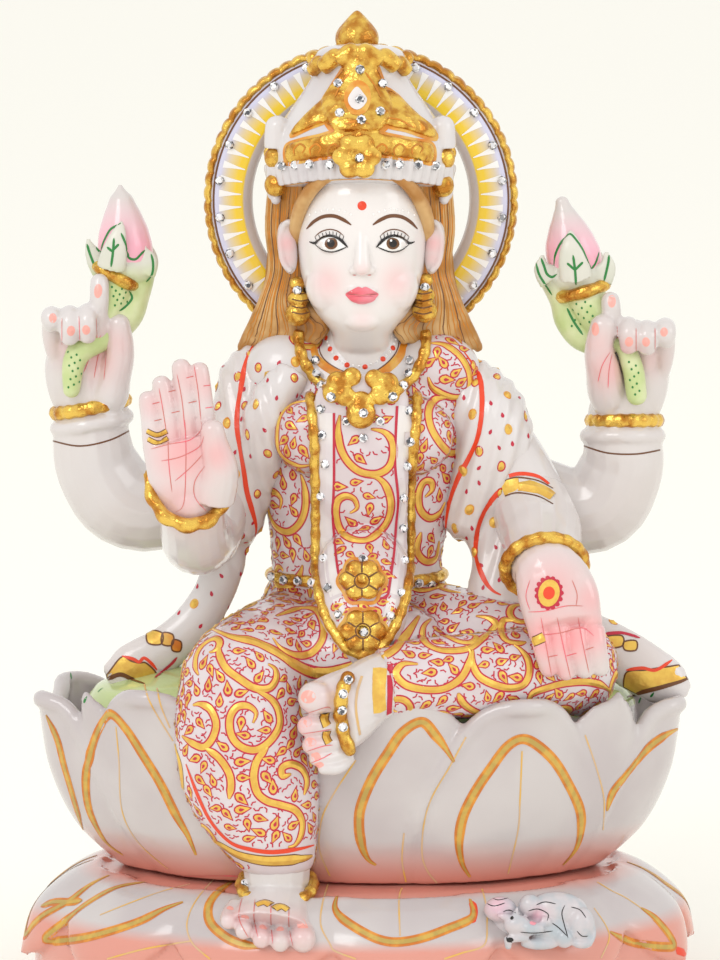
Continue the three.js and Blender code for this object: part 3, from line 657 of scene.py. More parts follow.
# ---- head
head = {
    "rows": [
        (104, 0.6, 0, 10, 10), (109, 0.6, -3.5, 8.4, 10), (112.4, 0.6, -5.5, 10, 12.6), (116.5, 0.6, -5.4, 14.2, 15.4),
        (123, 0.6, -4.6, 17.4, 17.2), (130, 0.6, -3.8, 19, 18.4), (138, 0.6, -3, 19.9, 19.4), (146, 0.6, -2.2, 20, 20),
        (155, 0.6, -1.4, 19, 19.6), (163, 0.6, -0.6, 15, 16), (168, 0.6, 0, 8, 9),
    ],
    "cheeks": [(-6.6, -10.4, 125, 10, 9.6, 10), (7.8, -10.4, 125, 10, 9.6, 10)],
    "chin": (0.6, -15.6, 114.6, 6.2, 5.6, 4.2),
    "forehead": (0.6, -9, 151, 15.5, 12.2, 10),
    "nose": [(0.6, -19.8, 143, 1.9), (0.6, -21.2, 137.5, 2.2), (0.6, -22.7, 132, 2.5), (0.6, -23.2, 129.8, 2.7)],
    "nostrils": [(-1.8, -22, 128.9, 1.7, 1.8, 1.4), (3, -22, 128.9, 1.7, 1.8, 1.4)],
    "lips": [
        (-1.2, -21.4, 122.9, 2.9, 1.9, 1.15), (2.4, -21.4, 122.9, 2.9, 1.9, 1.15), (0.6, -21.2, 120.7, 3.9, 2.2, 1.5),
    ],
    "eyeballs": [(-7.9, -18.4, 137, 4.9, 3.4, 3.1), (9.1, -18.4, 137, 4.9, 3.4, 3.1)],
    "neck": [(0.6, 1, 92, 11.5), (0.6, 1, 104, 10.8), (0.6, 0, 114, 10.2)],
}


def buildHead():
    parts = [tower(head["rows"], sides=36), ball(*head["chin"]), ball(*head["forehead"])]
    for row in head["cheeks"] + head["nostrils"] + head["lips"] + head["eyeballs"]:
        parts.append(ball(*row))
    parts.append(limb(head["nose"]))
    parts.append(limb(head["neck"], sides=9, roundEnd=False))
    return fuse("face", parts, 0.45, 9)


print("head")
facePiece = buildHead()

ears = {
    "bodies": [(-22, -6.6, 136.4, 3, 2.4, 8.2, -8), (22.6, -6.6, 136.4, 3, 2.4, 8.2, 8)],
    "rim": [(-1.2, -3.2, -7.4), (0.9, -3.4, -5), (1.9, -3.2, 0), (1.6, -2.8, 5), (-0.4, -2.8, 7.8), (-2.3, -3.2, 6.4)],
    "rimRadius": 0.9,
}


def buildEars():
    parts = []
    for side, row in ((-1, ears["bodies"][0]), (1, ears["bodies"][1])):
        parts.append(ball(*row))
        parts.append(limb([(row[0] + side * dx, row[1] + dy + 1.4, row[2] + dv, ears["rimRadius"]) for dx, dy, dv in ears["rim"]]))
    return fuse("ears", parts, 0.4, 3)


earPiece = buildEars()

hair = {
    "rows": [(104, -1, 13, 34, 10), (109, -1, 11, 36.4, 12.4), (117, 0, 9, 30, 14.4), (128, 0, 8, 27, 15.6),
             (141, 0, 8, 28, 16.6), (159, 0, 6, 25.4, 17.4)],
    "locks": 9,
    "backLocks": 11,
}


def lockPath(side, t):
    # each lock leaves the brim, passes behind the ear and spreads over the shoulder
    low = 13.5 + 22.5 * t
    mid = 17.5 + 9 * t
    return [
        (side * (17 + 9.4 * t), -11 + 9 * t, 157, 1.5), (side * (mid + 0.8), -4.5 + 6 * t, 143, 1.7),
        (side * mid, -2.4 + 5 * t, 130, 1.7), (side * (mid + 0.5 + 2.5 * t), -4 + 6 * t, 120, 1.8),
        (side * (low - 2), -5 + 9 * t, 113 - 3 * t, 2), (side * low, -4 + 10 * t, 108.5 - 2 * t, 1.6),
    ]


def buildHair():
    parts = [tower(hair["rows"], sides=40)]
    for side in (-1, 1):
        for i in range(hair["locks"]):
            parts.append(limb(lockPath(side, i / (hair["locks"] - 1)), sides=3))
        # the hair over the temple
        parts.append(limb([(side * 8 + 0.6, -19.6, 158, 1.4), (side * 13 + 0.6, -17.4, 155.4, 2), (side * 17 + 0.6, -14.2, 151, 2.3),
                           (side * 19.6 + 0.6, -9.6, 144.5, 2.2), (side * 20 + 0.6, -5, 139, 2)]))
    for i in range(hair["backLocks"]):
        # and down her back
        across = -1 + 2 * i / (hair["backLocks"] - 1)
        depth = math.sqrt(1 - 0.9 * across * across)
        parts.append(limb([(24 * across, 6 + 16.6 * depth, 157, 1.8), (26 * across, 7 + 16.2 * depth, 140, 2),
                           (28 * across, 8 + 15 * depth, 124, 2), (33 * across, 10 + 13 * depth, 111, 2),
                           (32 * across, 12 + 10 * depth, 103, 1.6)], sides=3))
    return fuse("hair", parts, 0.6, 2)


hairPiece = buildHair()

crown = {
    "body": [(154.6, 24, 21.4), (156.4, 27, 23.4), (160, 28, 24.2), (164, 28, 24.3), (168, 27.2, 23.8), (172, 26.2, 23),
             (177, 22.4, 19.6), (183, 18.2, 16), (189.5, 13.6, 11.8), (192.5, 14, 12.2), (196, 14, 12), (198.6, 9, 8)],
    "middle": (0, 1.5),
    "scallops": 25,
}


def crownRise(height, forward):
    # the band and the brim arch up over the forehead
    level = 4 if height < 158 else 4 + (height - 158) * 0.35 if height < 165 else max(0, 6.4 - (height - 165) * 0.26)
    return level * max(0, forward) ** 2


def crownRow(v, wide, deep, grow=0.0):
    return (v, crown["middle"][0], crown["middle"][1], wide + grow, deep + grow)


def crownRim(angle, v, grow=0.0):
    # a place on the crown's side at this height
    rows = crown["body"]
    for low, high in zip(rows, rows[1:]):
        if low[0] <= v <= high[0]:
            t = (v - low[0]) / (high[0] - low[0])
            wide = low[1] + (high[1] - low[1]) * t + grow
            deep = low[2] + (high[2] - low[2]) * t + grow
            break
    y = crown["middle"][1] + deep * math.sin(angle)
    point = at(crown["middle"][0] + wide * math.cos(angle), crown["middle"][1], v + crownRise(v, -math.sin(angle)))
    point.y = y * unit
    return point


def flat(x, y, z):
    return Vector((x, y, z))


def buildCrown():
    body = tower([crownRow(v, w, d) for v, w, d in crown["body"]], sides=44)
    for point in body.data.vertices:
        forward = (crown["middle"][1] - point.co.y / unit) / 24
        point.co.z += crownRise(point.co.z / unit - seatRim, min(1, forward)) * unit
    parts = [body]
    for i in range(crown["scallops"] + 1):
        angle = -math.pi * (1 - i / crown["scallops"])
        low = crownRim(angle, 156, -0.2)
        high = crownRim(angle, 161, 0)
        parts.append(limb([(*low, 1.75), (*high, 1.3)], place=flat, sides=3))
    for side in (-1, 1):
        parts.append(limb([(side * 24.8, -6, 166.6, 4.2), (side * 24.8, -6, 172.6, 3.9)]))
        parts.append(limb([(side * 25.8, -5, 165, 2.6), (side * 25.8, -5, 153, 2.4)]))
        parts.append(ball(side * 25.4, -6.5, 151, 1.6, 1.6, 1.6))
    return fuse("crownMarble", parts, 0.5, 2)


print("crown")
crownPiece = buildCrown()

halo = {
    "middle": (0.3, 18, 152.2),
    "scallops": 68,
    "ripple": 0.6,
    "rays": 60,
}


def haloPlace(radius, angle, y):
    x0, y0, v0 = halo["middle"]
    centre = at(x0, y0, v0)
    return centre + Vector((radius * math.cos(angle), y, radius * math.sin(angle))) * unit


def ring(name, loop, steps, wave=0.0, waves=0):
    # a closed loop of (radius, y) turned round the halo's middle
    points, faces = [], []
    count = len(loop)
    for i in range(steps):
        angle = 2 * math.pi * i / steps
        swell = wave * abs(math.sin(waves * angle / 2)) ** 0.7
        for radius, y in loop:
            points.append(haloPlace(radius + swell, angle, y))
        for j in range(count):
            a, b = i * count + j, i * count + (j + 1) % count
            c, d = ((i + 1) % steps) * count + (j + 1) % count, ((i + 1) % steps) * count + j
            faces.append((a, b, c, d))
    obj = meshFrom(name, points, faces)
    pick(obj)
    bpy.ops.object.mode_set(mode="EDIT")
    bpy.ops.mesh.select_all(action="SELECT")
    bpy.ops.mesh.normals_make_consistent(inside=False)
    bpy.ops.object.mode_set(mode="OBJECT")
    bpy.ops.object.shade_smooth()
    return obj


def roundLoop(radius, y, thick, deep, sides=10):
    return [(radius + thick * math.cos(2 * math.pi * i / sides), y + deep * math.sin(2 * math.pi * i / sides))
            for i in range(sides)]


print("halo")
haloPiece = ring("haloDisc", [(33.2, 0.5), (33.8, -1.2), (35.8, -2.8), (36.3, -3), (37.2, -3), (38.4, -3), (39.8, -3),
                              (41.4, -3), (42.6, -3), (43.6, -3), (45.2, -3), (45.9, -2.4), (46.1, 0), (45.9, 2.4), (45, 3),
                              (34.4, 3), (33.5, 2.4)], 240)
haloRim = ring("haloRim", roundLoop(46.3, 0, 1.35, 3.2, 12), 68 * 8, halo["ripple"], halo["scallops"])

buds = [
    {
        "name": "Left", "tip": (-73, 8, 155.4), "cup": (-71.5, 8, 134), "blunt": 1.0,
        "stalk": [(-74.6, 6, 129, 6.4), (-75.6, 4, 122, 5.6), (-78.5, 2, 114, 4.4)],
        "leaf": [(-67.4, 8, 132, 5.6), (-69.4, 8, 123, 5.4), (-71.6, 5, 115.6, 5), (-78, 2.6, 110, 4.4), (-86, -0.4, 104, 3.8),
                 (-87.8, -1, 93.4, 2.7)],
        "ring": (-74.6, 6, 128.8), "tilt": (0.55, 0, 1),
        "sepals": [((-75.5, -1.5, 130.5, 5.2), (-73.8, -2.4, 137.6, 3.9), (-72.3, -0.6, 144, 1)),
                   ((-77.5, 3, 130, 5), (-81, 3, 134.6, 3.2), (-82.6, 3, 138.8, 1.1)),
                   ((-66.5, 3, 129, 5.2), (-65, 3, 133.4, 4), (-65.6, 3, 136.4, 1.4)),
                   ((-74, 13, 130, 5.4), (-74, 15.4, 135, 4), (-73, 15, 142, 1)),
                   ((-66.6, 12, 130, 5), (-64.6, 13, 134, 3.6), (-64.4, 13, 138, 1.1))],
    },
    {
        "name": "Right", "tip": (61.6, 8, 150.6), "cup": (65.4, 8, 132), "blunt": 2.2,
        "stalk": [(68, 6, 125, 6.4), (70, 4, 119, 5.8), (73.6, 2, 112, 4.8)],
        "leaf": [(59.4, 8, 128.6, 5.2), (62.4, 8, 121, 4.6), (64.4, 7, 114.4, 4.8), (70, 4, 108.6, 4.4), (78.6, 0, 108, 3),
                 (82.4, -1, 101.6, 3.3), (84.2, -1, 91.6, 3.2)],
        "ring": (68, 6, 124), "tilt": (-0.3, 0, 1),
        "sepals": [((65.5, -1.5, 127.5, 5.8), (64.2, -2.6, 135, 4.6), (63.9, -0.6, 140.4, 1.6)),
                   ((58.4, 3, 127, 5), (55.4, 3, 131, 3.2), (55.4, 3, 133.8, 1.2)),
                   ((73, 3, 127, 4.6), (75.2, 3, 131.4, 3.2), (75, 3, 134.6, 1.3)),
                   ((66, 13, 127, 5.4), (65.4, 15.4, 132, 4.2), (64.4, 15, 139, 1.1)),
                   ((72, 12, 127, 5), (73.6, 13, 131, 3.6), (73.6, 13, 135, 1.1))],
    },
]


def buildBud(bud):
    side = bud["name"]
    cx, cy, cv = bud["cup"]
    tx, ty, tv = bud["tip"]
    parts = [limb(bud["stalk"], sides=7), limb(bud["leaf"], sides=7), ball(cx, cy, cv - 3, 9, 9, 6.4)]
    for places in bud["sepals"]:
        parts.append(limb([(x, y, v, r * 0.88) for x, y, v, r in places], flat=0.45, sides=5))
    stem = fuse("stem" + side, parts, 0.5, 3)
    petals = [(cx, cy, cv - 6, 6.6), (cx, cy, cv - 2.5, 8), (cx, cy, cv + 1, 8.4)]
    for rise, radius in ((0.26, 8.1), (0.48, 6.9), (0.7, 5), (0.88, 3.2), (1.0, bud["blunt"])):
        petals.append((cx + (tx - cx) * rise, cy, cv + (tv - cv) * rise, radius))
    flower = fuse("bud" + side, [limb(petals, sides=9)], 0.5, 3)
    return stem, flower, fuse("budRing" + side, [hoop(at(*bud["ring"]), Vector(bud["tilt"]), 6.8, 6.8, 2.1, beads=5, swell=0.08)],
                              0.4, 2)


print("buds")
budPieces = [buildBud(bud) for bud in buds]

calf = {
    "place": (48.4, -58.8, 30.1),
    "parts": [
        (10, 2, 8.6, 9.6, 5, 6), (17.2, -0.5, 4.8, 4.4, 4.4, 5.8), (8.5, 0, 3.4, 7.5, 4.6, 4.8), (2.2, 0, 10.8, 3.5, 3.2, 3.5),
        (-6.6, 1, 9.4, 5, 3.8, 3.9), (-1, 2.4, 5, 8, 4, 5), (5, -3.6, 0, 5.8, 2, 1.8), (12.3, -4, 1.6, 2.8, 2, 2.8),
        (17.6, -3.8, 0, 3, 1.6, 1.4),
    ],
    "head": [(-1.7, -3.4, 5.7, 4.2, 2.8, 3.1), (1.6, -4.4, 4.9, 2.8, 2.2, 2.3), (4.5, -4.6, 4.8, 2.1, 1.8, 1.9)],
    "ears": [[(-4.2, -3.2, 7.6, 1.3), (-6, -3.6, 8.4, 1.1), (-7.6, -3.6, 8.6, 0.4)], [(-2.6, -3.4, 8.2, 1.1), (-2, -3.8, 9.8, 0.8), (-1.8, -3.8, 11, 0.4)],
             [(5.4, -3, 7, 1.5), (7.2, -3.4, 6.6, 1.5), (8.8, -3.2, 5.4, 0.8)]],
    "legs": [[(1.6, -4.2, 2.2, 1.4), (-2, -4.8, 2, 1.3), (-4.6, -4.8, 1.6, 1.2)], [(-4.6, -4.8, 1.8, 1.2), (-4.4, -4.8, -0.4, 1.1)]],
    "tail": [(20.4, -0.4, 6, 1), (21, -2.2, 2.6, 0.9), (19.6, -4, 0.2, 1.1)],
}


def calfPlace(dx, dy, dz):
    x, y, z = calf["place"]
    return spot(x + dx, y + dy, z + dz)


def calfBall(dx, dy, dz, wide, deep, high):
    dropAll()
    bpy.ops.mesh.primitive_uv_sphere_add(segments=20, ring_count=12, radius=unit, location=calfPlace(dx, dy, dz))
    bpy.context.object.scale = (wide, deep, high)
    return settle(bpy.context.object)


def buildCalf():
    parts = [calfBall(*row) for row in calf["parts"] + calf["head"]]
    for path in calf["ears"] + calf["legs"] + [calf["tail"]]:
        parts.append(limb(path, place=calfPlace, sides=3))
    return fuse("restingCalf", parts, 0.4, 3)


print("calf")
calfPiece = buildCalf()

finialRows = [(200.2, 4.8, 4.8), (201, 6.4, 6.2), (203.4, 6.9, 6.7), (205.6, 6.6, 6.4), (208, 4.6, 4.6), (211, 1.8, 1.8),
              (212.2, 0.6, 0.6)]


def buildFinial():
    x, y, v = halo["middle"]
    rows = [(h - 2, x - 1.2, y, w, d) for h, w, d in finialRows]
    rows.insert(0, (v + 45, x - 1.2, y, 3, 3))
    return fuse("finial", [tower(rows, sides=24)], 0.5, 2)


finialPiece = buildFinial()


# ---- colours and finishes
palette = {
    "marble": (0.66, 0.625, 0.625),
    "marbleShade": (0.56, 0.52, 0.54),
    # skin for hands, arms, feet and ears is darker than the face's tone: painted shade, as if these parts stood in less
    # light
    "skin": (0.62, 0.57, 0.555),
    "cloth": (0.66, 0.595, 0.615),
    "clothShade": (0.61, 0.52, 0.54),
    # the lotus throne's tones are darker than the marble above: painted shade for the less lit lower parts
    "petal": (0.56, 0.52, 0.515),
    "petalShade": (0.49, 0.44, 0.445),
    "faceTone": (0.76, 0.72, 0.705),
    "veil": (0.65, 0.59, 0.575),
    "burnt": (0.56, 0.16, 0.016),
    "burntLight": (0.7, 0.28, 0.03),
    "oldGold": (0.46, 0.32, 0.08),
    "oldGoldLight": (0.62, 0.4, 0.08),
    "blush": (0.8, 0.32, 0.33),
    "salmon": (0.66, 0.28, 0.22),
    "tan": (0.62, 0.42, 0.24),
    "gold": (0.8, 0.52, 0.1),
    # as the gilding's second tone this stands partly for painted dark reflection
    "goldDeep": (0.48, 0.19, 0.022),
    "crimson": (0.5, 0.015, 0.045),
    "orangeRed": (0.75, 0.055, 0.015),
    "ochre": (0.66, 0.22, 0.015),
    "ochreLight": (0.72, 0.42, 0.08),
    "hair": (0.42, 0.185, 0.04),
    "hairLight": (0.64, 0.4, 0.17),
    "bud": (0.86, 0.42, 0.52),
    "hoof": (0.42, 0.46, 0.5),
    "facetDark": (0.03, 0.035, 0.05),
    # the painted glint on the glass stones' facets
    "facetGlint": (0.95, 0.96, 1.0),
    "lavender": (0.62, 0.62, 0.8),
    "yellow": (0.87, 0.6, 0.02),
    "paleYellow": (0.85, 0.76, 0.4),
    "green": (0.5, 0.6, 0.26),
    "greenLight": (0.66, 0.7, 0.42),
    "darkGreen": (0.02, 0.2, 0.04),
    "pink": (0.8, 0.3, 0.36),
    "lip": (0.78, 0.13, 0.17),
    "nail": (0.84, 0.38, 0.33),
    "skinLine": (0.58, 0.18, 0.15),
    "kohl": (0.012, 0.01, 0.01),
    "brown": (0.14, 0.05, 0.015),
    "iris": (0.13, 0.055, 0.015),
    "white": (0.88, 0.87, 0.86),
    "floor": (0.97, 0.96, 0.9),
}


def emptyGroup(name, inputs, outputs):
    group = bpy.data.node_groups.new(name, "ShaderNodeTree")
    for label, kind, value in inputs:
        socket = group.interface.new_socket(label, in_out="INPUT", socket_type=kind)
        socket.default_value = value
    for label, kind in outputs:
        group.interface.new_socket(label, in_out="OUTPUT", socket_type=kind)
    return group, group.nodes.new("NodeGroupInput"), group.nodes.new("NodeGroupOutput")


def link(tree, source, target):
    tree.links.new(source, target)


def mixColours(tree, factor, first, second):
    mix = tree.nodes.new("ShaderNodeMix")
    mix.data_type = "RGBA"
    link(tree, factor, mix.inputs["Factor"])
    for source, socket in ((first, mix.inputs[6]), (second, mix.inputs[7])):
        if isinstance(source, tuple):
            socket.default_value = (*source, 1)
        else:
            link(tree, source, socket)
    return mix.outputs[2]


def steps(tree, value, low, high):
    # 0 below low, 1 above high, eased between
    node = tree.nodes.new("ShaderNodeMapRange")
    node.interpolation_type = "SMOOTHSTEP"
    node.inputs["From Min"].default_value = low
    node.inputs["From Max"].default_value = high
    link(tree, value, node.inputs["Value"])
    return node.outputs["Result"]


def noise(tree, place, scale, detail=2.0):
    node = tree.nodes.new("ShaderNodeTexNoise")
    node.inputs["Scale"].default_value = scale
    node.inputs["Detail"].default_value = detail
    link(tree, place, node.inputs["Vector"])
    return node.outputs["Fac"]


def makeMottle():
    # two tones that drift into each other, as in stone and in brushed paint
    group, entry, leave = emptyGroup("mottle", [("First", "NodeSocketColor", (1, 1, 1, 1)), ("Second", "NodeSocketColor", (1, 1, 1, 1)),
                                                ("Grain", "NodeSocketFloat", 30.0)], [("Colour", "NodeSocketColor")])
    place = group.nodes.new("ShaderNodeTexCoord").outputs["Object"]
    node = group.nodes.new("ShaderNodeTexNoise")
    node.inputs["Detail"].default_value = 3
    link(group, place, node.inputs["Vector"])
    link(group, entry.outputs["Grain"], node.inputs["Scale"])
    mask = steps(group, node.outputs["Fac"], 0.38, 0.66)
    link(group, mixColours(group, mask, entry.outputs["First"], entry.outputs["Second"]), leave.inputs["Colour"])
    return group


def makeRipple():
    # fine unevenness of a brushed or leafed surface
    group, entry, leave = emptyGroup("handWork", [("Grain", "NodeSocketFloat", 600.0), ("Depth", "NodeSocketFloat", 0.0002)],
                                     [("Normal", "NodeSocketVector")])
    place = group.nodes.new("ShaderNodeTexCoord").outputs["Object"]
    node = group.nodes.new("ShaderNodeTexNoise")
    node.inputs["Detail"].default_value = 2
    link(group, place, node.inputs["Vector"])
    link(group, entry.outputs["Grain"], node.inputs["Scale"])
    bump = group.nodes.new("ShaderNodeBump")
    bump.inputs["Strength"].default_value = 1
    link(group, entry.outputs["Depth"], bump.inputs["Distance"])
    link(group, node.outputs["Fac"], bump.inputs["Height"])
    link(group, bump.outputs["Normal"], leave.inputs["Normal"])
    return group


mottle, handWork = makeMottle(), makeRipple()


def finish(name, first, second, grain=40.0, rough=0.3, metal=0.0, bump=0.0, bumpGrain=600.0, coat=0.0, tintsAndPaintedLight=None, soft=0.0):
    # a Principled material whose two tones and unevenness come from the shared groups
    material = bpy.data.materials.new(name)
    material.use_nodes = True
    tree = material.node_tree
    shader = tree.nodes["Principled BSDF"]
    tone = tree.nodes.new("ShaderNodeGroup")
    tone.node_tree = mottle
    tone.inputs["First"].default_value = (*palette[first], 1)
    tone.inputs["Second"].default_value = (*palette[second], 1)
    tone.inputs["Grain"].default_value = grain
    colour = tone.outputs["Colour"]
    # tints, painted shade and painted glints laid over the two tones, each by its own attribute
    for attribute, tintAndShade in (tintsAndPaintedLight or {}).items():
        mask = tree.nodes.new("ShaderNodeAttribute")
        mask.attribute_name = attribute
        colour = mixColours(tree, mask.outputs["Fac"], colour, palette[tintAndShade])
    link(tree, colour, shader.inputs["Base Color"])
    if bump:
        work = tree.nodes.new("ShaderNodeGroup")
        work.node_tree = handWork
        work.inputs["Grain"].default_value = bumpGrain
        work.inputs["Depth"].default_value = bump
        link(tree, work.outputs["Normal"], shader.inputs["Normal"])
    shader.inputs["Roughness"].default_value = rough
    shader.inputs["Metallic"].default_value = metal
    shader.inputs["Coat Weight"].default_value = coat
    shader.inputs["Coat Roughness"].default_value = 0.08
    if soft:
        shader.inputs["Subsurface Weight"].default_value = soft
        shader.inputs["Subsurface Radius"].default_value = (0.0035, 0.0025, 0.002)
        shader.inputs["Subsurface Scale"].default_value = 1.0
    return material


finishes = {
    "marble": finish("marble", "marble", "marbleShade", 26, 0.2, coat=0.4),
    "skin": finish("polishedSkin", "skin", "marble", 22, 0.17, coat=0.5, tintsAndPaintedLight={"blush": "blush"}),
    "face": finish("paintedFace", "faceTone", "faceTone", 22, 0.2, coat=0.4, tintsAndPaintedLight={"blush": "blush"}),
    "veil": finish("veilMarble", "veil", "marble", 30, 0.22, coat=0.4),
    "burnt": finish("burntPaint", "burnt", "burntLight", 260, 0.35),
    "oldGold": finish("oldGoldPaint", "oldGold", "oldGoldLight", 260, 0.35, 0.2),
    "cloth": finish("tintedCloth", "cloth", "clothShade", 60, 0.24, coat=0.3, tintsAndPaintedLight={"bare": "marble"}),
    "bud": finish("budPetal", "skin", "marble", 30, 0.2, coat=0.4, tintsAndPaintedLight={"blush": "bud"}),
    "halo": finish("haloPaint", "marble", "marbleShade", 26, 0.25, coat=0.3, tintsAndPaintedLight={"lavender": "lavender", "yellow": "yellow"}),
    "calf": finish("calfPaint", "marbleShade", "hoof", 150, 0.25, coat=0.3, tintsAndPaintedLight={"blush": "bud"}),
    "petal": finish("petalMarble", "petal", "petalShade", 24, 0.18, coat=0.4, tintsAndPaintedLight={"green": "green", "blush": "salmon"}),
    # the gilding's deep second tone, mottled by chance, is partly the leaf's own unevenness and partly painted dark
    # reflection
    "goldLeaf": finish("goldLeaf", "gold", "goldDeep", 240, 0.24, 0.75, 0.0006, 480),
    "goldPaint": finish("goldPaint", "gold", "ochreLight", 300, 0.32, 0.5, 0.0001, 700),
    "goldDeep": finish("goldShade", "goldDeep", "ochre", 300, 0.4, 0.3),
    "crimson": finish("crimsonPaint", "crimson", "crimson", 80, 0.35),
    "orangeRed": finish("orangeRedPaint", "orangeRed", "orangeRed", 80, 0.35),
    "ochre": finish("ochrePaint", "ochre", "ochreLight", 200, 0.35),
    # the hair darkens to brown where its painted shadow behind the earrings lies
    "hair": finish("hairPaint", "hair", "hairLight", 90, 0.34, 0.15, tintsAndPaintedLight={"earringShadow": "brown"}),
    "green": finish("stemPaint", "green", "greenLight", 80, 0.3, tintsAndPaintedLight={"pale": "marble"}),
    "darkGreen": finish("darkGreenPaint", "darkGreen", "darkGreen", 80, 0.35),
    "pink": finish("pinkPaint", "pink", "pink", 80, 0.3),
    "white": finish("whitePaint", "white", "white", 80, 0.3),
    "plain": finish("plainBand", "faceTone", "cloth", 60, 0.24, coat=0.3),
    "kohl": finish("kohlPaint", "kohl", "kohl", 80, 0.25),
    "lip": finish("lipPaint", "lip", "pink", 90, 0.42),
    "nail": finish("nailPaint", "nail", "nail", 80, 0.22),
    "skinLine": finish("rosePaint", "skinLine", "lip", 120, 0.4),
    "iris": finish("irisPaint", "iris", "brown", 400, 0.2),
    "brown": finish("brownPaint", "brown", "brown", 80, 0.35),
    "tan": finish("tanPaint", "tan", "ochreLight", 120, 0.4),
}


def tintAndShade(obj, name, shade):
    # a soft tint kept on the mesh, used for real colour and for painted shade; shade gives 0 to 1 for a place in
    # millimetres and its normal
    layer = obj.data.attributes.new(name, "FLOAT", "POINT")
    values = []
    for vertex in obj.data.vertices:
        values.append(max(0.0, min(1.0, shade(vertex.co / unit, vertex.normal))))
    layer.data.foreach_set("value", values)
    return obj


# ---- painting: every stroke is a thin skin laid on the carving
pots = {}


def pot(name):
    return pots.setdefault(name, ([], []))


def surfaceOf(*objects):
    points, faces = [], []
    for obj in objects:
        start = len(points)
        points += [v.co.copy() for v in obj.data.vertices]
        faces += [[start + i for i in p.vertices] for p in obj.data.polygons]
    return BVHTree.FromPolygons(points, faces)


def smoothLine(points, step, closed=False):
    # a curve through the places, with even steps along it
    dense = []
    count = len(points)
    for i in range(count if closed else count - 1):
        a, b, c, d = (points[(i + k) % count] if closed else points[max(0, min(count - 1, i + k))] for k in (-1, 0, 1, 2))
        parts = max(2, int((c - b).length / step) + 1)
        for j in range(parts):
            t = j / parts
            dense.append(0.5 * (2 * b + (c - a) * t + (2 * a - 5 * b + 4 * c - d) * t * t + (3 * b - a - 3 * c + d) * t ** 3))
    if not closed:
        dense.append(points[-1])
    return dense


def seen(tree, px, py):
    # what the picture shows at this place
    origin, direction = photoRay(px, py)
    place, normal, index, distance = tree.ray_cast(origin, direction)
    return place


def fromPhoto(tree, pixels, step=2.2, closed=False):
    line = smoothLine([Vector((px, py, 0)) for px, py in pixels], step, closed)
    return [place for place in (seen(tree, p.x, p.y) for p in line) if place is not None]


def lay(tree, place):
    found, normal, index, distance = tree.find_nearest(place)
    return found, normal


def stroke(colour, tree, places, width, rise=0.08, closed=False, crown=0.0, pointed=False):
    # a painted line of this width; crown swells its middle, as thick gold does
    points, faces = pot(colour)
    count = len(places)
    if count < 2:
        return
    rows = []
    for i, place in enumerate(places):
        spotHere, normal = lay(tree, place)
        if closed:
            onward = places[(i + 1) % count] - places[i - 1]
        else:
            onward = places[min(i + 1, count - 1)] - places[max(i - 1, 0)]
        across = normal.cross(onward)
        if across.length < 1e-9:
            continue
        across.normalize()
        half = width / 2
        if pointed and not closed:
            t = i / (count - 1)
            half *= min(1, 0.25 + 5 * (1 - t if pointed == "end" else min(t, 1 - t)))
        row = [spotHere + normal * (rise + crown) * unit]
        for side in (-1, 1):
            edge, edgeNormal = lay(tree, spotHere + across * side * half * unit)
            row.append(edge + edgeNormal * rise * unit * (0.35 if crown else 1))
        rows.append(row)
    start = len(points)
    for row in rows:
        points.extend((row[1], row[0], row[2]))
    total = len(rows)
    for i in range(total if closed else total - 1):
        a, b = start + 3 * i, start + 3 * ((i + 1) % total)
        faces.append((a, a + 1, b + 1, b))
        faces.append((a + 1, a + 2, b + 2, b + 1))


def gildedLine(tree, places, width=2.0, edge=0.42, closed=False, outline="crimson", pointed=True):
    stroke(outline, tree, places, width + 2 * edge, 0.06, closed, pointed=pointed)
    stroke("goldPaint", tree, places, width, 0.12, closed, crown=0.2, pointed=pointed)


def dab(colour, tree, place, along, length, width, rise, crown=0.0, tail=0.0, sides=9):
    # one touch of the brush: an oval, drawn out to a point by its tail
    points, faces = pot(colour)
    centre, normal = lay(tree, place)
    along = along - normal * along.dot(normal)
    if along.length < 1e-9:
        return
    along.normalize()
    across = normal.cross(along)
    start = len(points)
    points.append(centre + normal * (rise + crown) * unit)
    for i in range(sides):
        angle = 2 * math.pi * i / sides
        reach = math.cos(angle)
        wide = math.sin(angle) * (1 - tail * max(0, reach))
        edge, edgeNormal = lay(tree, centre + (along * reach * (1 + 0.6 * tail * max(0, reach)) * length / 2 + across * wide * width / 2) * unit)
        points.append(edge + edgeNormal * rise * unit * (0.4 if crown else 1))
    for i in range(sides):
        faces.append((start, start + 1 + i, start + 1 + (i + 1) % sides))


def leaf(tree, place, along, size=1.0):
    dab("crimson", tree, place, along, 4.3 * size, 3 * size, 0.07, tail=0.7, sides=12)
    dab("goldPaint", tree, place, along, 3.5 * size, 2.25 * size, 0.12, crown=0.16, tail=0.65, sides=11)
    dab("crimson", tree, place, along, 1.4 * size, 0.95 * size, 0.34, tail=0.5, sides=7)


def mark(colour, tree, px, py, length, width, turn=0, rise=0.09, crown=0.0, tail=0.0, sides=10):
    # one dab placed and turned as the picture shows it; turn 0 is upright
    place = seen(tree, px, py)
    if place is not None:
        angle = math.radians(turn)
        along = camTurn @ Vector((math.sin(angle), math.cos(angle), 0))
        dab(colour, tree, place, along, length, width, rise, crown, tail, sides)


def line(colour, tree, pixels, width, rise=0.09, **more):
    stroke(colour, tree, fromPhoto(tree, pixels, 2), width, rise, **more)


def blushAt(piece, spots, name="blush"):
    # soft spots of colour: (px, py, radius in mm, strength)
    tree = surfaceOf(piece)
    middles = []
    for px, py, radius, strength in spots:
        place = seen(tree, px, py)
        if place is not None:
            middles.append((place / unit, radius, strength))
    tintAndShade(piece, name, lambda p, n: max([s * math.exp(-((p - m).length / r) ** 2) for m, r, s in middles] or [0]))


def front(points, side=1, middle=0.6):
    # places on the front of the face, (x, v), as they show in the picture
    return [photoPlace(at(middle + side * x, -20, v)) for x, v in points]


